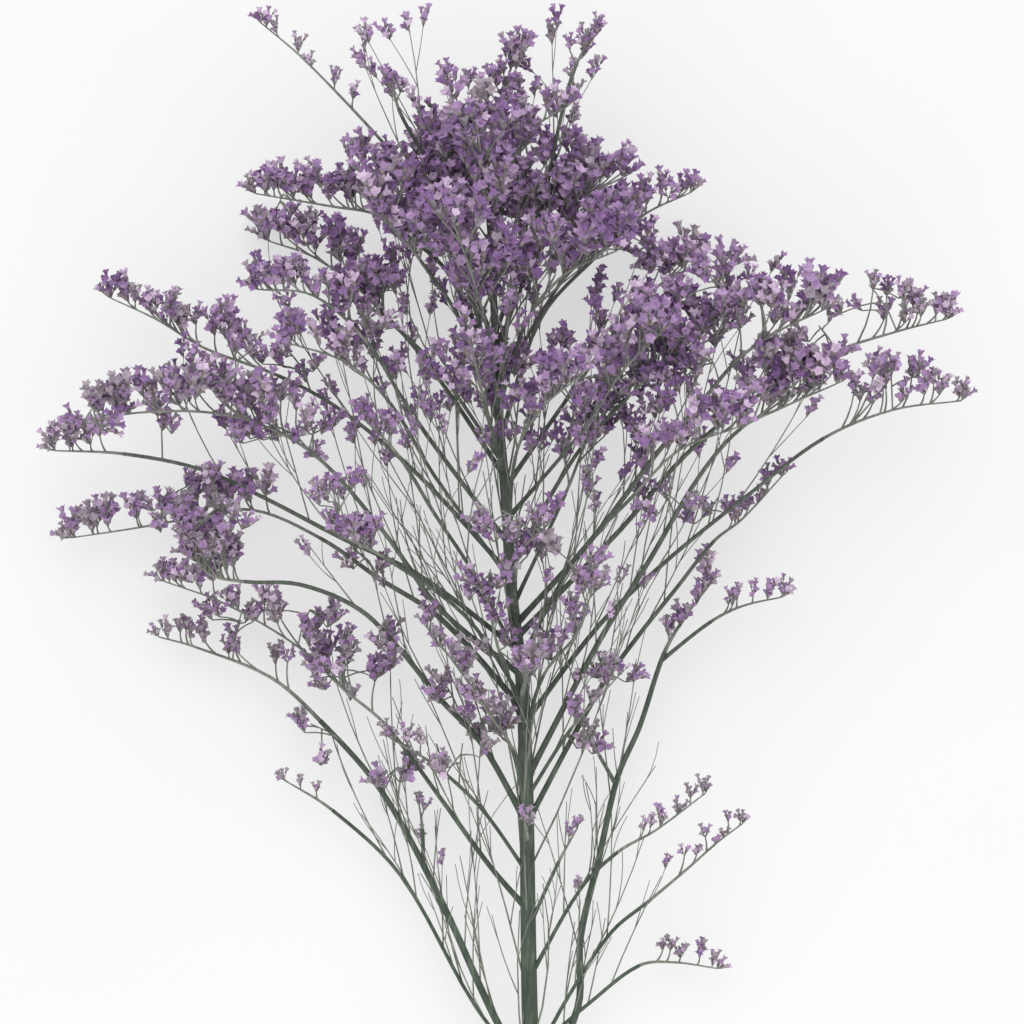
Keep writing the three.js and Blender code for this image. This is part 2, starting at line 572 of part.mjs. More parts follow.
function spraySolid(spray) {
  const points = axisPoints(spray);
  const last = points.length - 1;
  const axis = tube(points, (index) => between(AXIS_ROOT_RADIUS, AXIS_TIP_RADIUS, index / last), AXIS_SIDES);
  const funnels = spray.size < SMALL_TUFT_SIZE ? SMALL_TUFT : LARGE_TUFT;
  const whole = joinAll([axis, ...spray.tufts.map((tuft) => tuftSolid(tuft, funnels))]);
  return spray.rests ? whole.subtract(floorSlab()) : whole;
}

// The solid as a geometry, without the slivers that joining leaves.
function geometryFrom(solid) {
  const { vertProperties, triVerts, numProp } = outerBody(solid).simplify(SLIVER).getMesh();
  const positions = [];
  for (let start = 0; start < vertProperties.length; start += numProp) {
    positions.push(vertProperties[start], vertProperties[start + 1], vertProperties[start + 2]);
  }
  const geometry = new THREE.BufferGeometry();
  geometry.setAttribute("position", new THREE.Float32BufferAttribute(positions, 3));
  geometry.setIndex([...triVerts]);
  geometry.computeVertexNormals();
  return geometry;
}

function woodMaterial() {
  return new THREE.MeshStandardMaterial({ color: 0x4d5c4b, roughness: 0.8, metalness: 0 });
}

function floretMaterial() {
  return new THREE.MeshStandardMaterial({ color: 0x7f608b, roughness: 0.9, metalness: 0 });
}

function namedMesh(name, solid, material) {
  const mesh = new THREE.Mesh(geometryFrom(solid), material);
  mesh.name = name;
  return mesh;
}

const plant = growPlant();
const group = new THREE.Group();
group.name = "dried_sea_lavender_stem";
group.add(namedMesh("stem", stemSolid(plant), woodMaterial()));
for (const spray of plant.sprays) {
  group.add(namedMesh(`spray_${spray.name}`, spraySolid(spray), floretMaterial()));
}

// The part's origin is under the middle of its bounding box, on the surface.
const box = new THREE.Box3().setFromObject(group);
const middle = box.getCenter(new THREE.Vector3());
for (const mesh of group.children) mesh.geometry.translate(-middle.x, -middle.y, -box.min.z);

export default group;
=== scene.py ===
# A dried sea lavender stem lying on a pale surface: a ridged woody stem, wiry branches that fork into
# fine twigs, and small papery florets in short spikes at the twigs' tips.
# Lengths are in millimetres until a piece is made, and in metres from there on.
import math

import bpy
import numpy as np
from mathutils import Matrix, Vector


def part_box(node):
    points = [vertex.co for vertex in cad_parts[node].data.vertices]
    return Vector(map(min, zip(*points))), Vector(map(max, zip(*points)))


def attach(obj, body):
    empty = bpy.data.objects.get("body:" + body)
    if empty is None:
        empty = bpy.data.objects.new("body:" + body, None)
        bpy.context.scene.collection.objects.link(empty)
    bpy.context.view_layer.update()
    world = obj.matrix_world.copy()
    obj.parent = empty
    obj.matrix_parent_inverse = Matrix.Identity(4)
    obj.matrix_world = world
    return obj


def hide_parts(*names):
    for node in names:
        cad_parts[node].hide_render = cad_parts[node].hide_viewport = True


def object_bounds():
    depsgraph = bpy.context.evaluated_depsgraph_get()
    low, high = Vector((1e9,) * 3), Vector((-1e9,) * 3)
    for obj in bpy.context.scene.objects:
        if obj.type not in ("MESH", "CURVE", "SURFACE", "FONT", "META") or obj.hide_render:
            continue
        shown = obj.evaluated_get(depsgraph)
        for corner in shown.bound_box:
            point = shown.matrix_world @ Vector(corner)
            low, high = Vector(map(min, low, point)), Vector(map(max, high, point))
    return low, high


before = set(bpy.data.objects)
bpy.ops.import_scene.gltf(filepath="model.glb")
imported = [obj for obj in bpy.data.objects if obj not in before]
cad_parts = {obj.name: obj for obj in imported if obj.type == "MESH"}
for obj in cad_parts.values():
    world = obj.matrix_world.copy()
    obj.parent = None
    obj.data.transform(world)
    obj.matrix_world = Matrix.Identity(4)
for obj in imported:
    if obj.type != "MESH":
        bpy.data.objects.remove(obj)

CAD_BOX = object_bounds()
METRES = 0.001
UP = np.array([0, 1.0, 0])

SEED = 7471
SEED_STEP = 101

# Main stem: points up its length, from the cut end, seen from above.
CUT_END_Y = -118
STEM_PLAN = [
    [5, CUT_END_Y], [4, -80], [2, -40], [0.6, 0], [0, 36], [-0.6, 75],
    [-2, 107], [-5, 132], [-7, 164], [-9, 187], [-10.5, 219], [-12, 247],
]
STEM_BASE_RADIUS = 3.0
STEM_TOP_RADIUS = 0.9
STEM_TAPER_POWER = 0.8
STEM_SIDES = 8
CUT_END_HEIGHT = 2.6
STEM_SLOPE = 0.11

# Side branches: they thin towards the flowers.
BRANCH_END_SHARE = 0.62
THICK_BRANCH_RADIUS = 0.85
THICK_BRANCH_SIDES = 5
MIDDLING_BRANCH_RADIUS = 0.74
MIDDLING_BRANCH_SIDES = 4
THIN_BRANCH_SIDES = 3
THINNEST_BRANCH_RADIUS = 0.6
BRANCH_ARCH = 1.35
HEIGHT_SHIFTS = [0, 3, -3, 6, -6, 9, -9, 12, -12, 15, -15]

# Sprays: the axis that carries on from a branch, and the twigs that stand on it.
JOINT_GAP = 0.3
AXIS_ROOT_RADIUS = 0.72
TWIG_NECK_RADIUS = 0.45
FIRST_TWIG_SHARE = 0.12
TWIG_ROWS = [1, 0.5, 0.8, 0.3]
PLACE_JITTER = 0.4
REACH_JITTER = 0.2

# Which way twigs and tufts point: up the plant, forward along the axis and out from it.
TWIG_UP = 0.9
TWIG_FORWARD = 0.35
TWIG_OUT = 0.5
TWIG_OUT_IF_UPRIGHT = 0.35
TUFT_UP = 0.8
TUFT_ALONG_TWIG = 0.75

# Tufts of florets.
TUFT_LENGTH = 11
TUFT_RADIUS = 4.3
LENGTH_JITTER = 0.15
RADIUS_JITTER = 0.12
TUFT_BODY = [0.42, 0.72]

# Room kept between pieces, and between everything but the three resting points and the surface.
PIECE_ROOM = 0.35
TUFT_ROOM = -1.2
BRANCH_ROOM = 1.4
FLOOR_ROOM = 2.4
AXIS_FLOOR_ROOM = 4.4
ROOT_SKIP = 14

# The turns and reaches tried for a twig, until its tuft has room.
TWIG_TURN = 2.4
TURN_JITTER = 0.8
TURN_TRIES = 8
TURN_STEP = 0.8
REACH_TRIES = 3
REACH_STEP = 0.25

# The tuft a resting spray lies on.
REST_TUFT_FROM_TIP = 0.6
REST_TWIG_REACH = 3
REST_TUFT_HEIGHT = 1.9

# Side branches. "root" is where one leaves the main stem, as a distance up the stem, or "on" names the
# branch it leaves and how many points up that branch. "plan" is its run seen from above, "height" its
# tip above the surface, "radius" its thickness at the root and "bare" the point where flowers begin.
# "tufts" stand on twigs that shorten from reach[0] to reach[1], and "size" scales the florets.
BRANCHES = [
    dict(name="left_01", root=-25, height=14, radius=1.3, bare=4, tufts=9, reach=[15, 1], size=0.65,
         plan=[[-12, 0], [-28, 35], [-47, 70], [-67, 93], [-83, 107], [-108, 117], [-119, 120]]),
    dict(name="left_02", root=-22, height=10, radius=0.65, bare=3, tufts=3, reach=[3, 1], size=0.4,
         plan=[[-17, 1], [-41, 43], [-63, 64], [-79, 74]]),
    dict(name="left_03", root=32, height=24, radius=0.95, bare=3, tufts=12, reach=[22, 1], size=0.85,
         plan=[[-12, 46], [-28, 68], [-46, 92], [-59, 103], [-74, 117], [-98, 131], [-117, 138]]),
    dict(name="left_04", root=60, height=42, radius=1.0, bare=6, tufts=12, reach=[9, 5], size=1.05,
         plan=[[-15, 86], [-28, 100], [-41, 116], [-54, 129], [-73, 137], [-91, 138], [-103, 141],
               [-108, 151]]),
    dict(name="left_05", root=97, height=18, radius=1.0, bare=3, tufts=13, reach=[9, 1], size=0.9,
         plan=[[-28, 126], [-48, 139], [-67, 152], [-89, 161], [-110, 158], [-127, 155], [-147, 152]]),
    dict(name="left_06", root=108, height=62, radius=0.95, bare=3, tufts=16, reach=[13, 5], size=1.0,
         plan=[[-28, 129], [-47, 155], [-70, 180], [-95, 191], [-124, 192], [-142, 188]]),
    dict(name="left_07", root=116, height=30, radius=0.85, bare=5, tufts=5, reach=[9, 1], size=0.8,
         plan=[[-35, 140], [-60, 152], [-85, 165], [-105, 174], [-130, 179], [-152, 180]]),
    dict(name="left_08", root=150, height=76, radius=0.8, bare=3, tufts=12, reach=[15, 1], size=0.9,
         plan=[[-31, 183], [-41, 198], [-51, 214], [-68, 229], [-86, 231]]),
    dict(name="left_09", root=140, height=32, radius=0.8, bare=3, tufts=11, reach=[13, 1], size=0.85,
         plan=[[-35, 172], [-60, 193], [-80, 204], [-104, 213], [-119, 222], [-134, 229]]),
    dict(name="left_10", root=176, height=56, radius=0.65, bare=2, tufts=8, reach=[12, 7], size=1.0,
         plan=[[-29, 206], [-43, 220], [-56, 229]]),
    dict(name="left_11", root=204, height=52, radius=0.8, bare=3, tufts=11, reach=[9, 2], size=0.9,
         plan=[[-25, 236], [-35, 246], [-47, 255], [-63, 258], [-87, 262]]),
    dict(name="left_12", root=232, height=66, radius=0.65, bare=2, tufts=6, reach=[4, 1], size=0.6,
         plan=[[-35, 265], [-46, 278], [-59, 292], [-73, 306], [-85, 316]]),
    dict(name="left_13", root=226, height=86, radius=0.6, bare=3, tufts=4, reach=[5, 3], size=0.6,
         plan=[[-24, 260], [-35, 277], [-41, 288], [-43, 296]]),
    dict(name="left_14", root=188, height=82, radius=0.75, bare=2, tufts=12, reach=[9, 8], size=1.1,
         plan=[[-22, 222], [-34, 240], [-46, 255]]),
    dict(name="left_15", root=198, height=66, radius=0.75, bare=2, tufts=12, reach=[15, 10], size=1.1,
         plan=[[-18, 230], [-23, 253], [-27, 273]]),
    dict(name="left_16", root=172, height=6.5, radius=0.8, bare=2, tufts=9, reach=[14, 2], size=0.95,
         rests=True, plan=[[-30, 205], [-50, 228], [-68, 242], [-84, 248]]),
    dict(name="left_17", root=60, height=52, radius=0.6, bare=1, tufts=9, reach=[4, 3], size=0.8,
         plan=[[-5, 84], [-12, 95], [-22, 110], [-32, 123]]),
    dict(name="left_18", root=112, height=74, radius=0.65, bare=3, tufts=4, reach=[5, 4], size=0.8,
         plan=[[-17, 140], [-30, 160], [-41, 178], [-52, 190]]),
    dict(name="left_19", root=100, height=84, radius=0.6, bare=2, tufts=5, reach=[5, 3], size=0.8,
         plan=[[-20, 127], [-46, 146], [-60, 153]]),
    dict(name="left_20", root=44, height=34, radius=0.6, bare=2, tufts=3, reach=[4, 3], size=0.6,
         plan=[[-15, 65], [-30, 79], [-43, 87]]),
    dict(name="left_21", on=["left_01", 2.3], height=16, radius=0.5, bare=1, tufts=2, reach=[3, 2],
         size=0.5, plan=[[-34, 58], [-35, 66]]),
    dict(name="left_22", root=204, height=40, radius=0.7, bare=1, tufts=8, reach=[14, 7], size=1.05,
         plan=[[-20, 234], [-29, 260], [-33, 280]]),
    dict(name="left_23", root=214, height=76, radius=0.7, bare=1, tufts=9, reach=[9, 6], size=1.0,
         plan=[[-22, 240], [-38, 257], [-52, 267]]),
    dict(name="left_24", root=138, height=66, radius=0.7, bare=2, tufts=10, reach=[14, 4], size=1.0,
         plan=[[-30, 172], [-44, 195], [-58, 208], [-76, 214]]),
    dict(name="centre_01", root=236, height=48, radius=0.8, bare=2, tufts=8, reach=[8, 4], size=0.85,
         plan=[[-12, 262], [-10, 280], [-8, 294], [-4, 306]]),
    dict(name="centre_02", root=214, height=94, radius=0.75, bare=1, tufts=14, reach=[17, 11], size=1.15,
         plan=[[-12, 243], [-14, 264], [-16, 282]]),
    dict(name="centre_03", root=206, height=22, radius=0.75, bare=1, tufts=10, reach=[15, 10], size=1.1,
         plan=[[-4, 236], [-2, 258], [-4, 276]]),
    dict(name="centre_04", root=190, height=100, radius=0.75, bare=1, tufts=13, reach=[20, 10], size=1.15,
         plan=[[-13, 218], [-18, 236], [-23, 250]]),
    dict(name="centre_05", root=172, height=88, radius=0.6, bare=1, tufts=5, reach=[6, 5], size=0.9,
         plan=[[-14, 196], [-18, 213]]),
    dict(name="centre_06", root=122, height=66, radius=0.55, bare=1, tufts=7, reach=[6, 4], size=0.8,
         plan=[[-4, 138], [-2, 148], [6, 156]]),
    dict(name="centre_07", root=96, height=58, radius=0.55, bare=1, tufts=3, reach=[4, 4], size=0.75,
         plan=[[-9, 115], [-13, 132]]),
    dict(name="centre_08", root=88, height=62, radius=0.6, bare=1, tufts=6, reach=[4, 4], size=0.8,
         plan=[[5, 108], [16, 122], [20, 134]]),
    dict(name="centre_09", root=44, height=38, radius=0.5, bare=1, tufts=2, reach=[3, 3], size=0.6,
         plan=[[0, 55], [-1, 61]]),
    dict(name="centre_10", root=150, height=88, radius=0.75, bare=1, tufts=12, reach=[12, 6], size=1.0,
         plan=[[-4, 178], [4, 193], [16, 203]]),
    dict(name="centre_11", root=228, height=70, radius=0.65, bare=1, tufts=7, reach=[7, 4], size=0.85,
         plan=[[-7, 264], [0, 281], [12, 289]]),
    dict(name="centre_12", root=90, height=70, radius=0.5, bare=1, tufts=3, reach=[4, 4], size=0.85,
         plan=[[-2, 102], [0, 109]]),
    dict(name="right_01", root=-14, height=11, radius=0.65, bare=2, tufts=4, reach=[8, 1], size=0.55,
         plan=[[20, 2], [36, 14], [47, 15], [61, 13]]),
    dict(name="right_02", root=-18, height=24, radius=0.7, bare=3, tufts=6, reach=[9, 3], size=0.35,
         plan=[[13, 4], [27, 25], [39, 35], [52, 46], [61, 54], [69, 60]]),
    dict(name="right_03", root=-30, height=18, radius=1.25, bare=6, tufts=5, reach=[4, 3], size=0.85,
         plan=[[16, 0], [17, 23], [23, 49], [29, 75], [36, 91], [44, 115], [51, 127], [58, 136]]),
    dict(name="right_04", on=["right_03", 5.9], height=24, radius=0.6, bare=1, tufts=5, reach=[4, 1],
         size=0.65, plan=[[59, 125], [69, 130], [82, 133]]),
    dict(name="right_05", on=["right_03", 3.9], height=30, radius=0.5, bare=1, tufts=2, reach=[3, 3],
         size=0.6, plan=[[23, 82], [18, 91]]),
    dict(name="right_06", root=10, height=32, radius=0.7, bare=2, tufts=6, reach=[5, 2], size=0.5,
         plan=[[17, 39], [29, 51], [41, 58], [57, 70]]),
    dict(name="right_07", root=60, height=20, radius=0.9, bare=4, tufts=6, reach=[5, 1], size=0.65,
         plan=[[23, 103], [36, 121], [48, 136], [60, 151], [69, 158], [82, 172]]),
    dict(name="right_08", root=74, height=66, radius=1.0, bare=4, tufts=13, reach=[22, 6], size=1.0,
         plan=[[23, 119], [39, 145], [55, 172], [68, 187], [82, 194], [98, 201]]),
    dict(name="right_09", root=92, height=36, radius=0.85, bare=4, tufts=9, reach=[22, 1], size=0.75,
         plan=[[23, 124], [45, 145], [71, 166], [95, 184], [117, 193], [139, 196]]),
    dict(name="right_10", root=124, height=80, radius=0.95, bare=4, tufts=12, reach=[18, 7], size=1.0,
         plan=[[20, 151], [42, 180], [55, 195], [67, 209], [80, 218], [93, 224]]),
    dict(name="right_11", root=120, height=50, radius=0.9, bare=4, tufts=9, reach=[22, 1], size=0.7,
         plan=[[30, 155], [50, 178], [70, 195], [97, 211], [118, 218], [134, 222]]),
    dict(name="right_12", root=158, height=92, radius=0.75, bare=1, tufts=11, reach=[14, 9], size=1.0,
         plan=[[18, 187], [30, 205], [42, 217]]),
    dict(name="right_13", root=184, height=72, radius=0.75, bare=2, tufts=8, reach=[12, 2], size=0.8,
         plan=[[4, 222], [22, 242], [37, 255], [52, 262]]),
    dict(name="right_14", root=218, height=60, radius=0.7, bare=3, tufts=5, reach=[5, 2], size=0.6,
         plan=[[4, 256], [10, 284], [15, 302], [22, 315]]),
    dict(name="right_15", root=194, height=86, radius=0.75, bare=1, tufts=12, reach=[20, 8], size=1.15,
         plan=[[0, 222], [12, 236], [28, 243]]),
    dict(name="right_16", root=212, height=54, radius=0.75, bare=1, tufts=12, reach=[14, 8], size=1.15,
         plan=[[3, 243], [15, 259], [30, 267]]),
    dict(name="right_17", root=68, height=50, radius=0.5, bare=1, tufts=3, reach=[4, 4], size=0.7,
         plan=[[14, 91], [29, 108]]),
    dict(name="right_18", root=112, height=98, radius=0.75, bare=2, tufts=10, reach=[12, 7], size=0.95,
         plan=[[15, 145], [34, 166], [48, 180], [66, 187]]),
    dict(name="right_19", root=142, height=64, radius=0.8, bare=2, tufts=12, reach=[22, 10], size=1.1,
         plan=[[15, 178], [32, 197], [46, 209], [62, 217]]),
    dict(name="right_20", root=168, height=6.5, radius=0.8, bare=2, tufts=9, reach=[13, 4], size=1.0,
         rests=True, plan=[[15, 200], [32, 223], [48, 237], [66, 240]]),
    dict(name="right_21", root=200, height=30, radius=0.7, bare=1, tufts=11, reach=[19, 8], size=1.1,
         plan=[[8, 230], [20, 245], [32, 253]]),
    dict(name="right_22", root=26, height=32, radius=0.5, bare=1, tufts=2, reach=[3, 3], size=0.45,
         plan=[[10, 48], [16, 59]]),
    dict(name="right_23", root=130, height=46, radius=0.7, bare=1, tufts=9, reach=[12, 7], size=1.0,
         plan=[[12, 166], [22, 189], [36, 203]]),
]


def unit(way):
    return way / math.sqrt(way @ way)


def between(a, b, share):
    return a + (b - a) * share


def vary(most, random):
    return 1 + most * (2 * random - 1)


def random_stream(seed):
    """A repeatable stream of numbers from 0 to 1, the one the solids were grown with."""
    word = 0xFFFFFFFF
    state = seed

    def following():
        nonlocal state
        state = (state + 0x6D2B79F5) & word
        mixed = ((state ^ (state >> 15)) * (1 | state)) & word
        mixed = ((mixed + (mixed ^ (mixed >> 7)) * (61 | mixed)) & word) ^ mixed
        return (mixed ^ (mixed >> 14)) / 4294967296

    return following


def cross_directions(ahead):
    """Two directions square to a run, the first as near to straight up as it can be."""
    steep = 0.9
    upright = np.array([1.0, 0, 0]) if abs(ahead[2]) > steep else np.array([0, 0, 1.0])
    first = unit(upright - ahead * (upright @ ahead))
    return first, np.cross(ahead, first)


def sideways(ahead, turn):
    """The direction square to a run that lies a turn round it."""
    first, second = cross_directions(ahead)
    return first * math.cos(turn) + second * math.sin(turn)


def along(points, steps):
    """The point a number of steps along a run of points, part steps included."""
    before = min(len(points) - 2, int(steps))
    return between(points[before], points[before + 1], steps - before)


def ahead_at(points, steps):
    before = min(len(points) - 2, int(steps))
    return unit(points[before + 1] - points[before])


def stem_height(y):
    return CUT_END_HEIGHT + (y - CUT_END_Y) * STEM_SLOPE


def stem_points():
    return np.array([[x, y, stem_height(y)] for x, y in STEM_PLAN])


def stem_point_at(y):
    after = next(index for index, point in enumerate(STEM_PLAN) if point[1] >= y)
    low, high = STEM_PLAN[after - 1], STEM_PLAN[after]
    return np.array([between(low[0], high[0], (y - low[1]) / (high[1] - low[1])), y, stem_height(y)])


def stem_radius(share):
    return between(STEM_TOP_RADIUS, STEM_BASE_RADIUS, (1 - share) ** STEM_TAPER_POWER)


def run_distances(start, end, starts, ends):
    """The nearest approach of one straight run to each of many."""
    parallel = 1e-9
    a = end - start
    b = ends - starts
    apart = start - starts
    aa = a @ a
    bb = (b * b).sum(axis=1)
    ab = b @ a
    a_apart = apart @ a
    b_apart = (b * apart).sum(axis=1)
    spread = aa * bb - ab * ab
    slanted = spread > parallel
    on_a = np.clip((ab * b_apart - a_apart * bb) / np.where(slanted, spread, 1), 0, 1) * slanted
    on_b = (ab * on_a + b_apart) / bb
    outside = (on_b < 0) | (on_b > 1)
    on_b = np.clip(on_b, 0, 1)
    on_a = np.where(outside, np.clip((ab * on_b - a_apart) / aa, 0, 1), on_a)
    gaps = apart + a * on_a[:, None] - b * on_b[:, None]
    return np.sqrt((gaps * gaps).sum(axis=1))


class Rods:
    """Rounded rods that stand for what has grown when room is being kept."""

    def __init__(self):
        self.owners = []
        self.kinds = []
        self.numbers = np.zeros((0, 7))

    def add(self, owner, kind, start, end, radius):
        self.owners.append(owner)
        self.kinds.append(kind)
        self.numbers = np.vstack([self.numbers, [*start, *end, radius]])

    def room_round(self, start, end, radius):
        """How far every rod is from this one, skin to skin."""
        starts, ends, radii = self.numbers[:, 0:3], self.numbers[:, 3:6], self.numbers[:, 6]
        return run_distances(start, end, starts, ends) - radii - radius


def branch_points(root_point, plan, height):
    """The points of a branch in space, its height easing from the root's to the tip's."""
    points = [root_point]
    for index, (x, y) in enumerate(plan):
        share = (index + 1) / len(plan)
        climb = share * (BRANCH_ARCH - (BRANCH_ARCH - 1) * share)
        points.append([x, y, between(root_point[2], height, climb)])
    return np.array(points, float)


def tail_runs(points):
    """The straight lengths of a run past the part that still lies against its parent."""
    start = points[0] + ahead_at(points, 0) * ROOT_SKIP
    run = [start, *points[1:]]
    return list(zip(run[:-1], run[1:]))


def lay_branches():
    """A branch is raised or lowered a little until it runs clear of those laid before it."""
    laid = []
    rods = Rods()
    for branch in BRANCHES:
        named = branch["on"][0] if "on" in branch else None
        parent = next((other for other in laid if other["name"] == named), None)
        root_point = along(parent["points"], branch["on"][1]) if parent else stem_point_at(branch["root"])
        others = np.array([not parent or owner != parent["name"] for owner in rods.owners], bool)

        def is_clear(points):
            tail = tail_runs(points)
            if min(end[2] for _, end in tail) <= AXIS_FLOOR_ROOM:
                return False
            if not others.any():
                return True
            rooms = [rods.room_round(start, end, branch["radius"])[others].min() for start, end in tail]
            return min(rooms) >= BRANCH_ROOM

        shifts = [0] if branch.get("rests") else HEIGHT_SHIFTS
        trials = [branch_points(root_point, branch["plan"], branch["height"] + shift) for shift in shifts]
        points = next((trial for trial in trials if is_clear(trial)), trials[0])
        for start, end in tail_runs(points):
            rods.add(branch["name"], "run", start, end, branch["radius"])
        laid.append({**branch, "points": points})
    return laid


def twig_ways(ahead, turn):
    """Which way a twig leaves its axis, and which way the tuft at its end points."""
    lean = TWIG_OUT + TWIG_OUT_IF_UPRIGHT * abs(ahead[1])
    twig_way = unit(UP * TWIG_UP + ahead * TWIG_FORWARD + sideways(ahead, turn) * lean)
    return twig_way, unit(UP * TUFT_UP + twig_way * TUFT_ALONG_TWIG)


def tuft_trial(branch, steps, reach, turn, length, radius):
    """One try at a tuft: where its twig leaves the axis, where the florets begin and where they end."""
    root = along(branch["points"], steps)
    twig_way, tuft_way = twig_ways(ahead_at(branch["points"], steps), turn)
    end = root + twig_way * reach
    return {"steps": steps, "root": root, "end": end, "tip": end + tuft_way * length, "radius": radius}


def tuft_body(tuft):
    return [between(tuft["end"], tuft["tip"], share) for share in TUFT_BODY]


def tuft_fits(branch, tuft, taken):
    low, high = tuft_body(tuft)
    if min(tuft["root"][2], tuft["end"][2]) - TWIG_NECK_RADIUS < FLOOR_ROOM:
        return False
    if min(low[2], high[2]) - tuft["radius"] < FLOOR_ROOM:
        return False
    own = np.array([owner == branch["name"] for owner in taken.owners])
    own_tufts = own & np.array([kind == "tuft" for kind in taken.kinds])
    florets = taken.room_round(low, high, tuft["radius"])
    if (florets[~own] < PIECE_ROOM).any() or (florets[own_tufts] < TUFT_ROOM).any():
        return False
    twig = taken.room_round(tuft["root"], tuft["end"], TWIG_NECK_RADIUS)
    return not (twig[~own] < PIECE_ROOM).any()


def resting_tuft(branch):
    """The tuft that a resting spray lies on: it hangs below the axis and lies level on the surface."""
    steps = len(branch["points"]) - 1 - REST_TUFT_FROM_TIP
    root = along(branch["points"], steps)
    end = np.array([root[0], root[1] + REST_TWIG_REACH, REST_TUFT_HEIGHT])
    tip = end + UP * TUFT_LENGTH
    return {"steps": steps, "root": root, "end": end, "tip": tip, "radius": TUFT_RADIUS}


def grow_tufts(branch, seed, taken):
    """The tufts of one spray. Each takes the first turn round the axis that keeps its room."""
    following = random_stream(seed)
    tufts = []

    def keep(tuft):
        tufts.append(tuft)
        taken.add(branch["name"], "twig", tuft["root"], tuft["end"], TWIG_NECK_RADIUS)
        taken.add(branch["name"], "tuft", *tuft_body(tuft), tuft["radius"])

    if branch.get("rests"):
        keep(resting_tuft(branch))
    last = len(branch["points"]) - 1
    for index in range(branch["tufts"]):
        place = (index + 1 - PLACE_JITTER * following()) / branch["tufts"]
        share = between(FIRST_TWIG_SHARE, 1, place)
        steps = between(branch["bare"], last, share)
        row = TWIG_ROWS[index % len(TWIG_ROWS)]
        reach = between(*branch["reach"], share) * row * vary(REACH_JITTER, following())
        length = TUFT_LENGTH * branch["size"] * vary(LENGTH_JITTER, following())
        radius = TUFT_RADIUS * branch["size"] * vary(RADIUS_JITTER, following())
        following()
        turn = index * TWIG_TURN + following() * TURN_JITTER
        for attempt in range(TURN_TRIES * REACH_TRIES):
            shorter = 1 - REACH_STEP * (attempt // TURN_TRIES)
            tuft = tuft_trial(branch, steps, reach * shorter, turn + attempt * TURN_STEP, length, radius)
            if tuft_fits(branch, tuft, taken):
                keep(tuft)
                break
    return tufts


def grow_plant():
    """The stem, branches and tufts, each where its solid is."""
    branches = lay_branches()
    stem = stem_points()
    taken = Rods()
    for index in range(1, len(stem)):
        taken.add("stem", "run", stem[index - 1], stem[index], stem_radius((index - 1) / (len(stem) - 1)))
    for branch in branches:
        bare = branch["points"][:branch["bare"] + 1]
        for start, end in zip(bare[:-1], bare[1:]):
            taken.add("stem", "run", start, end, branch["radius"])
        axis = branch["points"][branch["bare"]:].copy()
        axis[0] = axis[0] + ahead_at(axis, 0) * JOINT_GAP
        for start, end in zip(axis[:-1], axis[1:]):
            taken.add(branch["name"], "axis", start, end, AXIS_ROOT_RADIUS)
    for index, branch in enumerate(branches):
        branch["grown"] = grow_tufts(branch, SEED + index * SEED_STEP, taken)
    return stem, branches


# Looks. Lengths are still in millimetres.
LOOKS_SEED = 907
SURFACE_TOP = 0.0

# How finely curves are drawn.
CURVE_STEPS = 6
STEM_RINGS_PER_STEP = 8
MAIN_STEM_SIDES = 28
BRANCH_SIDES = 8
AXIS_SIDES = 6
TWIG_SIDES = 5
SPIKE_SIDES = 3

# Ridges run up the main stem, and it swells a little where each branch leaves.
STEM_RIDGES = 7
RIDGE_DEPTH = 0.07
COLLAR_LENGTH = 4.0
COLLAR_SWELL = 0.35

AXIS_TIP_RADIUS = 0.26
TWIG_RADIUS = [0.36, 0.24]
SPIKE_RADIUS = [0.2, 0.12]

# Numbers of the finishes on a piece.
BARK, GREEN_TWIG, BRACT, VIOLET, LILAC, DEEP_VIOLET, FADED = range(7)


def smooth_run(points, start, stop, per_step):
    """A smooth curve through a run of points, from one number of steps along it to another."""
    points = np.asarray(points, float)
    last = len(points) - 1
    back = points[np.maximum(np.arange(last + 1) - 1, 0)]
    front = points[np.minimum(np.arange(last + 1) + 1, last)]
    ways = front - back
    ways /= np.linalg.norm(ways, axis=1)[:, None]
    count = max(2, int(round((stop - start) * per_step)) + 1)
    steps = np.linspace(start, stop, count)
    before = np.clip(steps.astype(int), 0, last - 1)
    t = (steps - before)[:, None]
    p0, p1 = points[before], points[before + 1]
    span = np.linalg.norm(p1 - p0, axis=1)[:, None]
    m0, m1 = ways[before] * span, ways[before + 1] * span
    curve = (2 * t**3 - 3 * t**2 + 1) * p0 + (t**3 - 2 * t**2 + t) * m0
    curve += (3 * t**2 - 2 * t**3) * p1 + (t**3 - t**2) * m1
    return curve


def smooth_point(points, steps):
    """The point on the smooth curve, and the way it runs there."""
    near = 0.02
    low = max(0, steps - near)
    high = min(len(points) - 1, steps + near)
    here = smooth_run(points, low, high, 2 / (high - low))
    return here[1], unit(here[-1] - here[0])


class Shape:
    """The points, triangles and finishes of a piece while it is put together."""

    def __init__(self):
        self.points = []
        self.faces = []
        self.finishes = []
        self.count = 0

    def add(self, points, faces, finishes):
        self.points.append(points)
        self.faces.append(faces + self.count)
        self.finishes.append(np.broadcast_to(finishes, len(faces)))
        self.count += len(points)


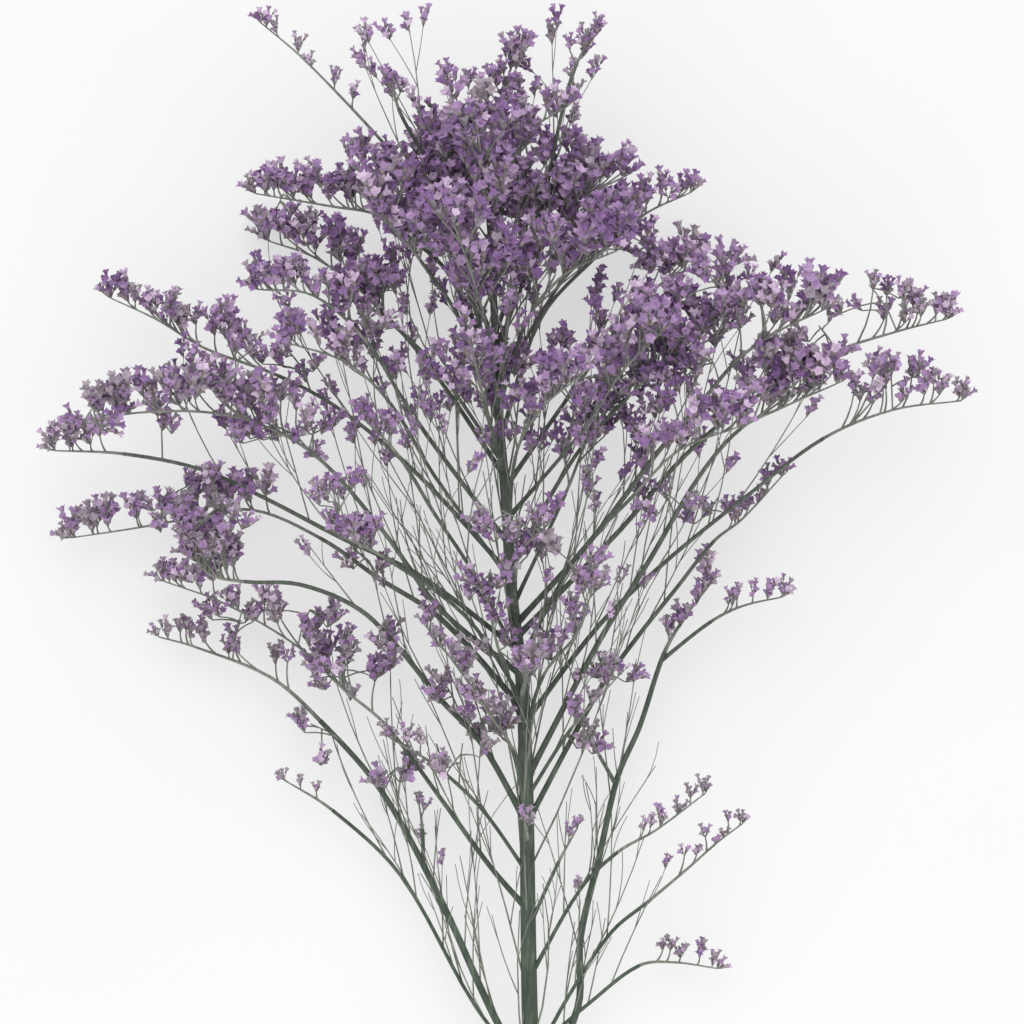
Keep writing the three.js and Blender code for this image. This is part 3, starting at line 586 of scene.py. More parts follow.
def tube_faces(levels, sides):
    """Triangles that close a tube of rings, with flat ends."""
    level = np.arange(levels - 1)[:, None] * sides
    side = np.arange(sides)[None, :]
    following = (side + 1) % sides
    low, low_next = level + side, level + following
    high, high_next = low + sides, low_next + sides
    lower = np.stack([low, low_next, high], axis=-1).reshape(-1, 3)
    upper = np.stack([low_next, high_next, high], axis=-1).reshape(-1, 3)
    fan = np.arange(1, sides - 1)
    start = np.stack([np.zeros_like(fan), fan + 1, fan], axis=-1)
    top = (levels - 1) * sides
    end = np.stack([np.full_like(fan, top), top + fan, top + fan + 1], axis=-1)
    return np.concatenate([lower, upper, start, end])


def tube(shape, points, radii, sides, finish, ridge=None):
    """A closed round run along a curve, its rings carried along without twisting."""
    points = np.asarray(points, float)
    radii = np.broadcast_to(np.asarray(radii, float), len(points))
    ahead = np.gradient(points, axis=0)
    ahead /= np.linalg.norm(ahead, axis=1)[:, None]
    first = cross_directions(ahead[0])[0]
    firsts = []
    for way in ahead:
        first = unit(first - way * (first @ way))
        firsts.append(first)
    firsts = np.array(firsts)
    seconds = np.cross(ahead, firsts)
    angles = np.arange(sides) / sides * 2 * math.pi
    reach = radii[:, None] * (np.ones(sides) if ridge is None else ridge(angles))[None, :]
    rings = points[:, None, :] + firsts[:, None, :] * (np.cos(angles) * reach)[:, :, None]
    rings = rings + seconds[:, None, :] * (np.sin(angles) * reach)[:, :, None]
    shape.add(rings.reshape(-1, 3), tube_faces(len(points), sides), finish)


# A floret of unit length: rings from its foot to its rim, each a height and a radius.
FLORET_SIDES = 5
FLORET_FOOT = [(0.0, 0.06), (0.2, 0.16), (0.46, 0.15), (0.7, 0.22)]
BRACT_BANDS = 2
LOBE = (1.0, 0.42)
NOTCH = (0.87, 0.31)
THROAT = (0.76, 0.14)
THROAT_DEPTH = 0.06
FLORET_FORMS = 8
FORM_JITTER = 0.14


def floret_faces():
    """The triangles of a floret, and which of them are bract."""
    sides = FLORET_SIDES
    faces = [[0, side + 1, side] for side in range(1, sides - 1)]
    is_bract = [True] * len(faces)
    for level in range(len(FLORET_FOOT) - 1):
        for side in range(sides):
            low, low_next = level * sides + side, level * sides + (side + 1) % sides
            faces += [[low, low_next, low + sides], [low_next, low_next + sides, low + sides]]
            is_bract += [level < BRACT_BANDS] * 2
    neck = (len(FLORET_FOOT) - 1) * sides
    rim = neck + sides
    throat = rim + 2 * sides
    centre = throat + sides
    for side in range(sides):
        following = (side + 1) % sides
        low, low_next = neck + side, neck + following
        lobe, notch, lobe_next = rim + 2 * side, rim + 2 * side + 1, rim + 2 * following
        inner, inner_next = throat + side, throat + following
        faces += [[low, notch, lobe], [low, low_next, notch], [low_next, lobe_next, notch]]
        faces += [[lobe, notch, inner], [notch, lobe_next, inner_next], [notch, inner_next, inner]]
        faces += [[inner, inner_next, centre]]
        is_bract += [False] * 7
    return np.array(faces), np.array(is_bract)


def floret_form(random):
    """The points of one floret of unit length, its five lobes uneven."""
    sides = FLORET_SIDES
    rings = []
    for height, radius in FLORET_FOOT:
        rings += [(height, radius, side / sides) for side in range(sides)]
    for side in range(sides):
        rings.append((*LOBE, side / sides))
        rings.append((*NOTCH, (side + 0.5) / sides))
    rings += [(*THROAT, side / sides) for side in range(sides)]
    rings.append((THROAT[0] - THROAT_DEPTH, 0, 0))
    rings = np.array(rings)
    spread = 1 + random.uniform(-FORM_JITTER, FORM_JITTER, len(rings))
    heights = rings[:, 0] + random.uniform(-FORM_JITTER, FORM_JITTER, len(rings)) * rings[:, 1]
    angles = rings[:, 2] * 2 * math.pi
    reach = rings[:, 1] * spread
    return np.stack([np.cos(angles) * reach, np.sin(angles) * reach, heights], axis=-1)


class Florets:
    """Florets gathered for one piece: where each stands, which way it points, its length and finish."""

    def __init__(self):
        self.feet = []
        self.ways = []
        self.lengths = []
        self.finishes = []

    def add(self, foot, way, length, finish):
        self.feet.append(foot)
        self.ways.append(way)
        self.lengths.append(length)
        self.finishes.append(finish)

    def put_on(self, shape, forms, faces, is_bract, random):
        if not self.feet:
            return
        feet, ways = np.array(self.feet), np.array(self.ways)
        lengths, finishes = np.array(self.lengths), np.array(self.finishes)
        count = len(feet)
        roll = random.normal(size=(count, 3))
        firsts = roll - ways * (roll * ways).sum(axis=1)[:, None]
        firsts /= np.linalg.norm(firsts, axis=1)[:, None]
        seconds = np.cross(ways, firsts)
        chosen = np.array(forms)[random.integers(0, len(forms), count)] * lengths[:, None, None]
        points = feet[:, None, :] + chosen[:, :, 0:1] * firsts[:, None, :]
        points = points + chosen[:, :, 1:2] * seconds[:, None, :] + chosen[:, :, 2:3] * ways[:, None, :]
        steps = np.arange(count)[:, None, None] * chosen.shape[1]
        all_faces = (faces[None, :, :] + steps).reshape(-1, 3)
        shown = np.where(is_bract[None, :], BRACT, finishes[:, None]).reshape(-1)
        shape.add(points.reshape(-1, 3), all_faces, shown)


# Where the flowers stand thinner than elsewhere: the place, how far it reaches and how much is lacking.
THIN_PATCHES = [
    [-41, 318, 12, 0.6], [-25, 305, 10, 0.8], [-8, 298, 12, 0.6], [10, 298, 10, 0.6],
    [-31, 282, 8, 0.6], [-2, 273, 9, 0.6], [30, 282, 9, 0.7], [45, 266, 14, 0.8], [-70, 250, 10, 0.9],
    [-92, 241, 8, 0.5], [-69, 225, 8, 0.6], [7, 246, 10, 0.8], [-26, 228, 10, 0.8], [14, 218, 14, 0.9],
    [-48, 212, 12, 0.8], [-22, 193, 12, 0.9], [-2, 192, 12, 0.9], [52, 195, 10, 0.7],
    [31, 186, 10, 0.7], [58, 254, 10, 0.7], [74, 252, 10, 0.6], [84, 232, 10, 0.5], [98, 230, 9, 0.5],
    [-40, 165, 10, 0.6], [4, 164, 9, 0.8], [54, 134, 9, 0.5], [-140, 208, 16, 0.4], [-90, 134, 12, 0.3],
    [-30, 126, 10, 0.5],
]

# Spikes: florets in two close rows along one side of a short stalk.
FLORET_LENGTH = 4.35
FLORET_JITTER = 0.14
FLORET_SPACING = 2.5
FIRST_FLORET = 0.45
ROW_TURN = [0.4, 0.9]
ROW_LEAN = 0.62
TIP_LEAN_SHARE = 0.25
FLORET_FORWARD = 0.8
FLORET_WAY_JITTER = 0.1
SPIKE_SIDE = np.array([0, 1.0, 0.45])
SPIKE_SIDE_JITTER = 0.35
SPIKE_BEND = 0.3
PAST_TOP = 1.5

# Colour of the florets. Most in a tuft are alike; the rest are drawn by these chances. "Outward" is 0 at
# the plant's heart and 1 at its outside, so few are faded within and many at the edge.
PLANT_HEART = np.array([-8, 225])
PLANT_REACH = np.array([150, 130])
SAME_FINISH_CHANCE = 0.55
VIOLET_CHANCE = 0.46
LILAC_CHANCE = 0.16
DEEP_CHANCE_AT_HEART = 0.32
FADED_CHANCE_AT_HEART = 0.03
FADED_CHANCE_OUTWARD = 0.6
FADED_POWER = 1.5


def share_kept(place):
    """How much of the usual flower there is at a place, after the thin patches."""
    kept = 1
    for x, y, reach, loss in THIN_PATCHES:
        apart = ((place[0] - x) ** 2 + (place[1] - y) ** 2) / reach**2
        kept *= 1 - loss * math.exp(-apart)
    return kept


def draw_finish(place, random):
    """Violet for most; faded towards the outside of the plant, deeper in the thick of it."""
    across, up = (place[:2] - PLANT_HEART) / PLANT_REACH
    outward = min(1, across * across + up * up)
    deep = DEEP_CHANCE_AT_HEART * (1 - outward)
    faded = FADED_CHANCE_AT_HEART + FADED_CHANCE_OUTWARD * outward**FADED_POWER
    chances = np.array([VIOLET_CHANCE, LILAC_CHANCE, deep, faded])
    return [VIOLET, LILAC, DEEP_VIOLET, FADED][random.choice(4, p=chances / chances.sum())]


def grow_spike(shape, florets, start, way, length, size, leading, random):
    """A short curved stalk with florets along its upper side and one at its point."""
    bend = unit(way + UP * SPIKE_BEND)
    points = [start, start + way * length * 0.5, start + (way + bend) * length * 0.5]
    tube(shape, points, np.linspace(SPIKE_RADIUS[0], SPIKE_RADIUS[1], 3), SPIKE_SIDES, GREEN_TWIG)
    lean = SPIKE_SIDE + random.normal(size=3) * SPIKE_SIDE_JITTER
    first = unit(lean - way * (lean @ way))
    second = np.cross(way, first)
    count = max(1, int(round(length / (FLORET_SPACING * size))))
    for index in range(count + 1):
        share = (index + FIRST_FLORET) / (count + FIRST_FLORET)
        foot = between(points[0], points[2], min(1, share))
        row = (1 if index % 2 else -1) * random.uniform(*ROW_TURN)
        out = first * math.cos(row) + second * math.sin(row)
        leaning = ROW_LEAN * (TIP_LEAN_SHARE if index == count else 1)
        jitter = random.normal(size=3) * FLORET_WAY_JITTER
        floret_way = unit(way * FLORET_FORWARD + out * leaning + jitter)
        floret_length = FLORET_LENGTH * size * (1 + random.uniform(-FLORET_JITTER, FLORET_JITTER))
        alike = random.uniform(0, 1) < SAME_FINISH_CHANCE
        finish = leading if alike else draw_finish(foot, random)
        if foot[2] + floret_way[2] * floret_length < PLANT_ROOM[1][2] + PAST_TOP:
            florets.add(foot, floret_way, floret_length, finish)


# Tufts: spikes fanned out from the end of a twig, fewer and shorter in a thin patch.
FULL_TUFT_RADIUS = 2.6
FULL_TUFT_KEPT = 0.5
FULL_TUFT_SPIKES = 3
SMALL_TUFT_SPIKES = 2
FAN_TURN_JITTER = 0.4
FAN_VARIES = [0.9, 1.4]
SMALLEST_FLORET = 0.62
LARGEST_FLORET = 1.1
FLORET_BASE_SIZE = 0.75
FLORET_SIZE_GAIN = 0.3
FLORET_PAST_SPIKE = 0.8
SHORTEST_SPIKE = 1.5
SPIKE_VARIES = [0.75, 1.05]
THIN_SPIKE_SHARE = 0.7


def grow_tuft(shape, florets, tuft, size, random):
    """The spikes that fan out from the end of a twig and together fill a tuft's room."""
    kept = share_kept(tuft["tip"])
    leading = draw_finish(tuft["tip"], random)
    tuft_way = unit(tuft["tip"] - tuft["end"])
    length = np.linalg.norm(tuft["tip"] - tuft["end"])
    is_full = tuft["radius"] > FULL_TUFT_RADIUS and kept > FULL_TUFT_KEPT
    count = FULL_TUFT_SPIKES if is_full else SMALL_TUFT_SPIKES
    turned = random.uniform(0, 2 * math.pi)
    fan = tuft["radius"] / length
    floret = min(1.0, max(SMALLEST_FLORET, length / TUFT_LENGTH))
    floret = floret * min(LARGEST_FLORET, FLORET_BASE_SIZE + size * FLORET_SIZE_GAIN)
    spike_length = max(SHORTEST_SPIKE, length - FLORET_LENGTH * floret * FLORET_PAST_SPIKE)
    for index in range(count):
        turn = turned + index * 2 * math.pi / count + random.uniform(-FAN_TURN_JITTER, FAN_TURN_JITTER)
        way = unit(tuft_way + sideways(tuft_way, turn) * fan * random.uniform(*FAN_VARIES))
        reach = spike_length * random.uniform(*SPIKE_VARIES) * between(THIN_SPIKE_SHARE, 1, kept)
        grow_spike(shape, florets, tuft["end"], way, reach, floret, leading, random)


TWIG_POINTS = 4
TWIG_BEND_SHARE = 0.45
TWIG_BEND_FORWARD = 0.12


def grow_twig(shape, root, ahead, end, radii=TWIG_RADIUS):
    """A fine twig that leaves its branch a little forward and bends to its tuft."""
    reach = np.linalg.norm(end - root)
    bend = between(root, end, TWIG_BEND_SHARE) + ahead * reach * TWIG_BEND_FORWARD
    t = np.linspace(0, 1, TWIG_POINTS)[:, None]
    points = root * (1 - t) ** 2 + 2 * bend * t * (1 - t) + end * t**2
    tube(shape, points, np.linspace(radii[0], radii[1], len(points)), TWIG_SIDES, GREEN_TWIG)


def branch_radius(branch, steps):
    share = np.minimum(steps / branch["bare"], 1)
    bare = np.maximum(THINNEST_BRANCH_RADIUS, branch["radius"] * between(1, BRANCH_END_SHARE, share))
    beyond = np.clip((steps - branch["bare"]) / (len(branch["points"]) - 1 - branch["bare"]), 0, 1)
    return between(bare, AXIS_TIP_RADIUS, beyond)


# Tufts that thicken a spray between those of its solid: as many as were meant to be there, and more on
# the sprays with large florets, as a share of the tufts.
EXTRA_SHARE = [0.15, 0.8]
EXTRA_FROM_SIZE = [0.6, 1.0]
EXTRA_REACH = [0.3, 1.15]
EXTRA_SIZE = [0.65, 1.0]
TIP_TUFT_SIZE = 0.75
TIP_TUFT_UP = 0.5
SHORTEST_TWIG = 0.5
SHORT_OF_TIP = 0.001


def extra_tufts(branch, random):
    last = len(branch["points"]) - 1
    extras = []
    fullness = np.interp(branch["size"], EXTRA_FROM_SIZE, EXTRA_SHARE)
    wanted = branch["tufts"] * (1 + fullness) - len(branch["grown"])
    for _ in range(int(round(wanted))):
        share = random.uniform(0, 1)
        steps = between(branch["bare"], last, share)
        reach = between(*branch["reach"], share) * random.uniform(*EXTRA_REACH)
        size = branch["size"] * random.uniform(*EXTRA_SIZE)
        turn = random.uniform(0, 2 * math.pi)
        tuft = tuft_trial(branch, steps, reach, turn, TUFT_LENGTH * size, TUFT_RADIUS * size)
        above_floor = min(tuft["end"][2], tuft["tip"][2]) - tuft["radius"] > FLOOR_ROOM
        if above_floor and in_the_plant(tuft["tip"]) and random.uniform(0, 1) < share_kept(tuft["tip"]):
            extras.append(tuft)
    root, ahead = smooth_point(branch["points"], last - SHORT_OF_TIP)
    way = unit(ahead + UP * TIP_TUFT_UP)
    tip = root + way * TUFT_LENGTH * branch["size"] * TIP_TUFT_SIZE
    radius = TUFT_RADIUS * branch["size"] * TIP_TUFT_SIZE
    extras.append({"steps": last, "root": root, "end": root, "tip": tip, "radius": radius})
    return extras


def dress_spray(branch, random):
    """One spray's twigs and florets as two shapes."""
    twigs, flowers, florets = Shape(), Shape(), Florets()
    points, bare, last = branch["points"], branch["bare"], len(branch["points"]) - 1
    steps = np.linspace(bare, last, int((last - bare) * CURVE_STEPS) + 1)
    axis = smooth_run(points, bare, last, CURVE_STEPS)
    tube(twigs, axis, branch_radius(branch, steps[:len(axis)]), AXIS_SIDES, GREEN_TWIG)
    for tuft in branch["grown"] + extra_tufts(branch, random):
        root, ahead = smooth_point(points, min(tuft["steps"], last - SHORT_OF_TIP))
        if np.linalg.norm(tuft["end"] - root) > SHORTEST_TWIG:
            grow_twig(twigs, root, ahead, tuft["end"])
        grow_tuft(flowers, florets, tuft, branch["size"], random)
    return twigs, flowers, florets


# Shoots: fine forking twigs that fill the inside of the plant, most of them bare low down.
SHOOT_SPACING = [8, 14]
FIRST_SHOOT = 16
LAST_SHOOT_SHARE = 0.78
SHOOT_LENGTH = [24, 56]
SHOOT_RADIUS = [0.27, 0.15]
SHOOT_WAVER = 0.22
SHOOT_RISE = [0.1, 0.5]
SHOOT_POINTS = 5
SHOOT_WAY_UP = 0.8
SHOOT_WAY_FORWARD = 0.6
SHOOT_WAY_OUT = 0.35
SHOOT_FORKS = 2
SPACING_VARIES = [0.7, 1.3]
FORK_SPAN = [0.35, 0.85]
FORK_PLACE_JITTER = 0.9
FORK_LEAN = [0.3, 0.5]
FORK_UP = 0.15
FORK_LENGTH = [0.3, 0.5]
FORK_RADIUS_SHARE = 0.85
FORKS_LOST = 2
STEM_SHOOT_SPACING = [11, 18]
STEM_SHOOTS_FROM = -34
STEM_SHOOTS_TO = 215
STEM_SHOOT_LENGTH = [55, 110]
STEM_SHOOT_LEAN = [0.16, 0.6]
STEM_SHOOT_DEPTH_SHARE = 0.7
STEM_SHOOT_FORKS = 3
UPPER_STEM = 120
UPPER_SHOOT_SHARE = 0.6
STEM_SHOOT_RADIUS = [0.38, 0.17]
BLOOM_FROM = 88
BLOOM_FULL = 190
SHOOT_FLOWER_CHANCE = [0.06, 0.28]
ALWAYS_IN_FLOWER = 0.97
SHOOT_FLOWER_SIZE = [0.5, 0.75]
SHOOT_FLOWER_WIDTH = 0.6
TOP_ROOM = 1.2


def bloom(place):
    """How much flower there is at a place: none low down, most at the top."""
    share = max(0, min(1, (place[1] - BLOOM_FROM) / (BLOOM_FULL - BLOOM_FROM)))
    return share * share * (3 - 2 * share)


def in_the_plant(place):
    """Whether a place is within the room of the whole plant, with space above it for a floret."""
    low, high = PLANT_ROOM
    return all(low[axis] < place[axis] < high[axis] for axis in range(3)) and place[2] < high[2] - TOP_ROOM


def grow_shoot(twigs, flowers, florets, root, way, length, radii, forks, random):
    """A wiry shoot that bends upward and forks, with florets where the plant is in flower."""
    late = unit(way + UP * random.uniform(*SHOOT_RISE) + random.normal(size=3) * SHOOT_WAVER)
    t = np.linspace(0, 1, SHOOT_POINTS)[:, None]
    points = root + length * (way * t + (late - way) * t**2 * 0.5)
    if not in_the_plant(points[-1]):
        return
    tube(twigs, points, np.linspace(radii[0], radii[1], len(points)), TWIG_SIDES, GREEN_TWIG)
    turn = random.uniform(0, 2 * math.pi)
    for fork in range(forks):
        share = between(*FORK_SPAN, (fork + random.uniform(0, FORK_PLACE_JITTER)) / forks)
        here = root + length * (way * share + (late - way) * share**2 * 0.5)
        ahead = unit(way + (late - way) * share)
        turn += TWIG_TURN
        child = unit(ahead + sideways(ahead, turn) * random.uniform(*FORK_LEAN) + UP * FORK_UP)
        thinner = [between(*radii, share) * FORK_RADIUS_SHARE, radii[1] * FORK_RADIUS_SHARE]
        child_length = length * random.uniform(*FORK_LENGTH)
        fewer = max(0, forks - FORKS_LOST)
        grow_shoot(twigs, flowers, florets, here, child, child_length, thinner, fewer, random)
    flowering = bloom(points[-1])
    chance = between(*SHOOT_FLOWER_CHANCE, flowering) * share_kept(points[-1])
    if random.uniform(0, 1) < chance or flowering > ALWAYS_IN_FLOWER:
        size = between(*SHOOT_FLOWER_SIZE, flowering)
        tip = points[-1] + late * TUFT_LENGTH * size
        tuft = {"end": points[-1], "tip": tip, "radius": TUFT_RADIUS * size * SHOOT_FLOWER_WIDTH}
        grow_tuft(flowers, florets, tuft, size, random)


def branch_shoots(branch, twigs, flowers, florets, random):
    """Shoots along the bare part of a branch."""
    points = branch["points"]
    run = smooth_run(points, 0, branch["bare"], CURVE_STEPS)
    lengths = np.concatenate([[0], np.cumsum(np.linalg.norm(np.diff(run, axis=0), axis=1))])
    spacing = between(*SHOOT_SPACING, bloom(points[branch["bare"]]))
    place = FIRST_SHOOT + random.uniform(0, spacing)
    turn = random.uniform(0, 2 * math.pi)
    while place < lengths[-1] * LAST_SHOOT_SHARE:
        steps = np.interp(place, lengths, np.linspace(0, branch["bare"], len(run)))
        root, ahead = smooth_point(points, steps)
        turn += TWIG_TURN
        out = sideways(ahead, turn)
        way = unit(UP * SHOOT_WAY_UP + ahead * SHOOT_WAY_FORWARD + out * SHOOT_WAY_OUT)
        length = random.uniform(*SHOOT_LENGTH)
        grow_shoot(twigs, flowers, florets, root, way, length, SHOOT_RADIUS, SHOOT_FORKS, random)
        place += spacing * random.uniform(*SPACING_VARIES)


def stem_shoots(twigs, flowers, florets, random):
    """Long fine shoots from the main stem, to all sides of it."""
    place = STEM_SHOOTS_FROM
    turn = 0
    while place < STEM_SHOOTS_TO:
        turn += TWIG_TURN
        root = stem_point_at(place)
        out = np.array([math.cos(turn), 0, math.sin(turn) * STEM_SHOOT_DEPTH_SHARE])
        way = unit(np.array([0, 1.0, STEM_SLOPE]) + out * random.uniform(*STEM_SHOOT_LEAN))
        length = random.uniform(*STEM_SHOOT_LENGTH) * (1 if place < UPPER_STEM else UPPER_SHOOT_SHARE)
        grow_shoot(twigs, flowers, florets, root, way, length, STEM_SHOOT_RADIUS, STEM_SHOOT_FORKS, random)
        place += between(*STEM_SHOOT_SPACING, bloom([0, place])) * random.uniform(*SPACING_VARIES)


# Sprigs: small forked twigs that fill out the canopy. Each is a place, how widely its tufts spread and
# how many there are.
SPRIGS = [
    [-57, 270, 7, 4], [-79, 263, 6, 3], [-40, 279, 7, 3], [-33, 250, 7, 4], [-19, 247, 9, 6],
    [-5, 265, 8, 5], [9, 264, 8, 5], [-54, 225, 7, 5], [-45, 232, 6, 3], [36, 247, 8, 7],
    [62, 237, 9, 7], [-6, 212, 7, 7], [-25, 207, 6, 4], [8, 204, 7, 5], [22, 204, 7, 4],
    [37, 208, 9, 8], [44, 200, 8, 5], [56, 212, 7, 4], [80, 204, 7, 4], [93, 220, 7, 4],
    [116, 210, 7, 4], [-76, 211, 7, 5], [-92, 210, 7, 4], [-105, 205, 7, 5], [-118, 196, 7, 4],
    [-134, 196, 6, 3], [-152, 190, 5, 3], [-82, 188, 9, 7], [-66, 190, 8, 5], [-116, 167, 7, 4],
    [-95, 164, 10, 9], [-103, 147, 7, 5], [-92, 129, 7, 4], [-60, 167, 7, 4], [-57, 149, 6, 3],
    [-70, 129, 7, 5], [-60, 111, 9, 8], [-70, 92, 6, 3], [-45, 120, 7, 3], [-9, 161, 6, 4],
    [1, 152, 6, 4], [13, 144, 7, 4], [-12, 142, 6, 4], [-9, 116, 6, 3], [10, 118, 6, 3],
    [26, 113, 6, 3], [-15, 94, 6, 4], [13, 89, 6, 3], [-28, 107, 6, 3], [61, 165, 7, 3],
    [36, 180, 6, 3], [43, 167, 6, 3], [109, 233, 6, 3], [-21, 86, 6, 3], [-42, 78, 6, 3],
]
SPRIG_BELOW = 7
SPRIG_SLANT = 0.45
SPRIG_TUFT_SIZE = [0.6, 0.85]
SPRIG_RADIUS = [0.3, 0.22]
SPRIG_RISE = 0.2
SPRIG_BEND_SHARE = 0.4
SPRIG_BEND_UP = 2
SPRIG_STEPS = 3
SPRIG_FORKS_FROM = 0.35
SPRIG_SPREAD = np.array([0.7, 0.5, 0.5])
SPRIG_TUFT_DROP = 0.6
SPRIG_TUFT_UP = 1.2
SPRIG_WAY_JITTER = 0.2


def sprig_root(branches, place):
    """The nearest point of a branch below a place, from which a sprig can reach it going mostly upward."""
    best = None
    for branch in branches:
        run = smooth_run(branch["points"], 0.5, len(branch["points"]) - 1, 2)
        apart = place - run[:, :2]
        reaches = (apart[:, 1] > SPRIG_BELOW) & (apart[:, 1] > SPRIG_SLANT * abs(apart[:, 0]))
        if not reaches.any():
            continue
        gaps = np.where(reaches, np.hypot(apart[:, 0], apart[:, 1]), np.inf)
        if best is None or gaps.min() < best[0]:
            best = (gaps.min(), run[gaps.argmin()])
    return best[1]


def grow_sprig(branches, sprig, twigs, flowers, florets, random):
    """A stalk from the nearest branch to a place, and round that place the tufts it carries."""
    x, y, spread, tufts = sprig
    root = sprig_root(branches, np.array([x, y]))
    height = min(root[2] + (y - root[1]) * SPRIG_RISE, PLANT_ROOM[1][2] - TUFT_LENGTH)
    heart = np.array([x, y, height])
    bend = between(root, heart, SPRIG_BEND_SHARE) + UP * SPRIG_BEND_UP
    stalk = smooth_run([root, bend, heart], 0, 2, SPRIG_STEPS)
    tube(twigs, stalk, np.linspace(*SPRIG_RADIUS, len(stalk)), TWIG_SIDES, GREEN_TWIG)
    for _ in range(tufts):
        size = random.uniform(*SPRIG_TUFT_SIZE)
        share = random.uniform(SPRIG_FORKS_FROM, 1)
        start = along(stalk, share * (len(stalk) - 1))
        aside = random.normal(size=3) * spread * SPRIG_SPREAD
        end = heart + aside - UP * TUFT_LENGTH * size * SPRIG_TUFT_DROP
        way = UP * SPRIG_TUFT_UP + (end - start) / np.linalg.norm(end - start)
        way = unit(way + random.normal(size=3) * SPRIG_WAY_JITTER)
        tip = end + way * TUFT_LENGTH * size
        if not in_the_plant(tip) or end[2] < FLOOR_ROOM * 2:
            continue
        grow_twig(twigs, start, UP, end, SPRIG_RADIUS)
        tuft = {"end": end, "tip": tip, "radius": TUFT_RADIUS * size}
        grow_tuft(flowers, florets, tuft, size, random)


def stem_ridges(angles):
    return 1 + RIDGE_DEPTH * np.cos(angles * STEM_RIDGES)


def dress_stem(stem, branches):
    """The main stem and the bare part of each branch."""
    shape = Shape()
    last = len(stem) - 1
    run = smooth_run(stem, 0, last, STEM_RINGS_PER_STEP)
    shares = np.linspace(0, 1, len(run))
    radii = between(STEM_TOP_RADIUS, STEM_BASE_RADIUS, (1 - shares) ** STEM_TAPER_POWER)
    tube(shape, run, radii, MAIN_STEM_SIDES, BARK, stem_ridges)
    for branch in branches:
        run = smooth_run(branch["points"], 0, branch["bare"], CURVE_STEPS)
        steps = np.linspace(0, branch["bare"], len(run))
        from_root = np.linalg.norm(run - run[0], axis=1)
        collar = 1 + COLLAR_SWELL * np.exp(-from_root / COLLAR_LENGTH)
        tube(shape, run, branch_radius(branch, steps) * collar, BRANCH_SIDES, BARK)
    return shape


def ring_points(points, radius_at, sides):
    """The corners of the rings that a solid's tube is drawn with."""
    corners = []
    for index, point in enumerate(points):
        back, front = points[max(0, index - 1)], points[min(len(points) - 1, index + 1)]
        way = unit(front - back)
        for side in range(sides):
            corners.append(point + sideways(way, side / sides * 2 * math.pi) * radius_at(index))
    return corners


def solid_sides(branch):
    if branch["radius"] >= THICK_BRANCH_RADIUS:
        return THICK_BRANCH_SIDES
    return MIDDLING_BRANCH_SIDES if branch["radius"] >= MIDDLING_BRANCH_RADIUS else THIN_BRANCH_SIDES


def shift_to_frame(stem, branches):
    """What moves the plant from its own measures to the frame, found from the stem's solid."""
    last = len(stem) - 1
    corners = ring_points(stem, lambda index: stem_radius(index / last), STEM_SIDES)
    for branch in branches:
        bare = branch["points"][:branch["bare"] + 1]
        corners += ring_points(bare, lambda index: branch_radius(branch, index), solid_sides(branch))
    low = np.min(corners, axis=0)
    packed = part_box("stem")[0]
    return np.array([packed[0] / METRES - low[0], packed[1] / METRES - low[1], 0])


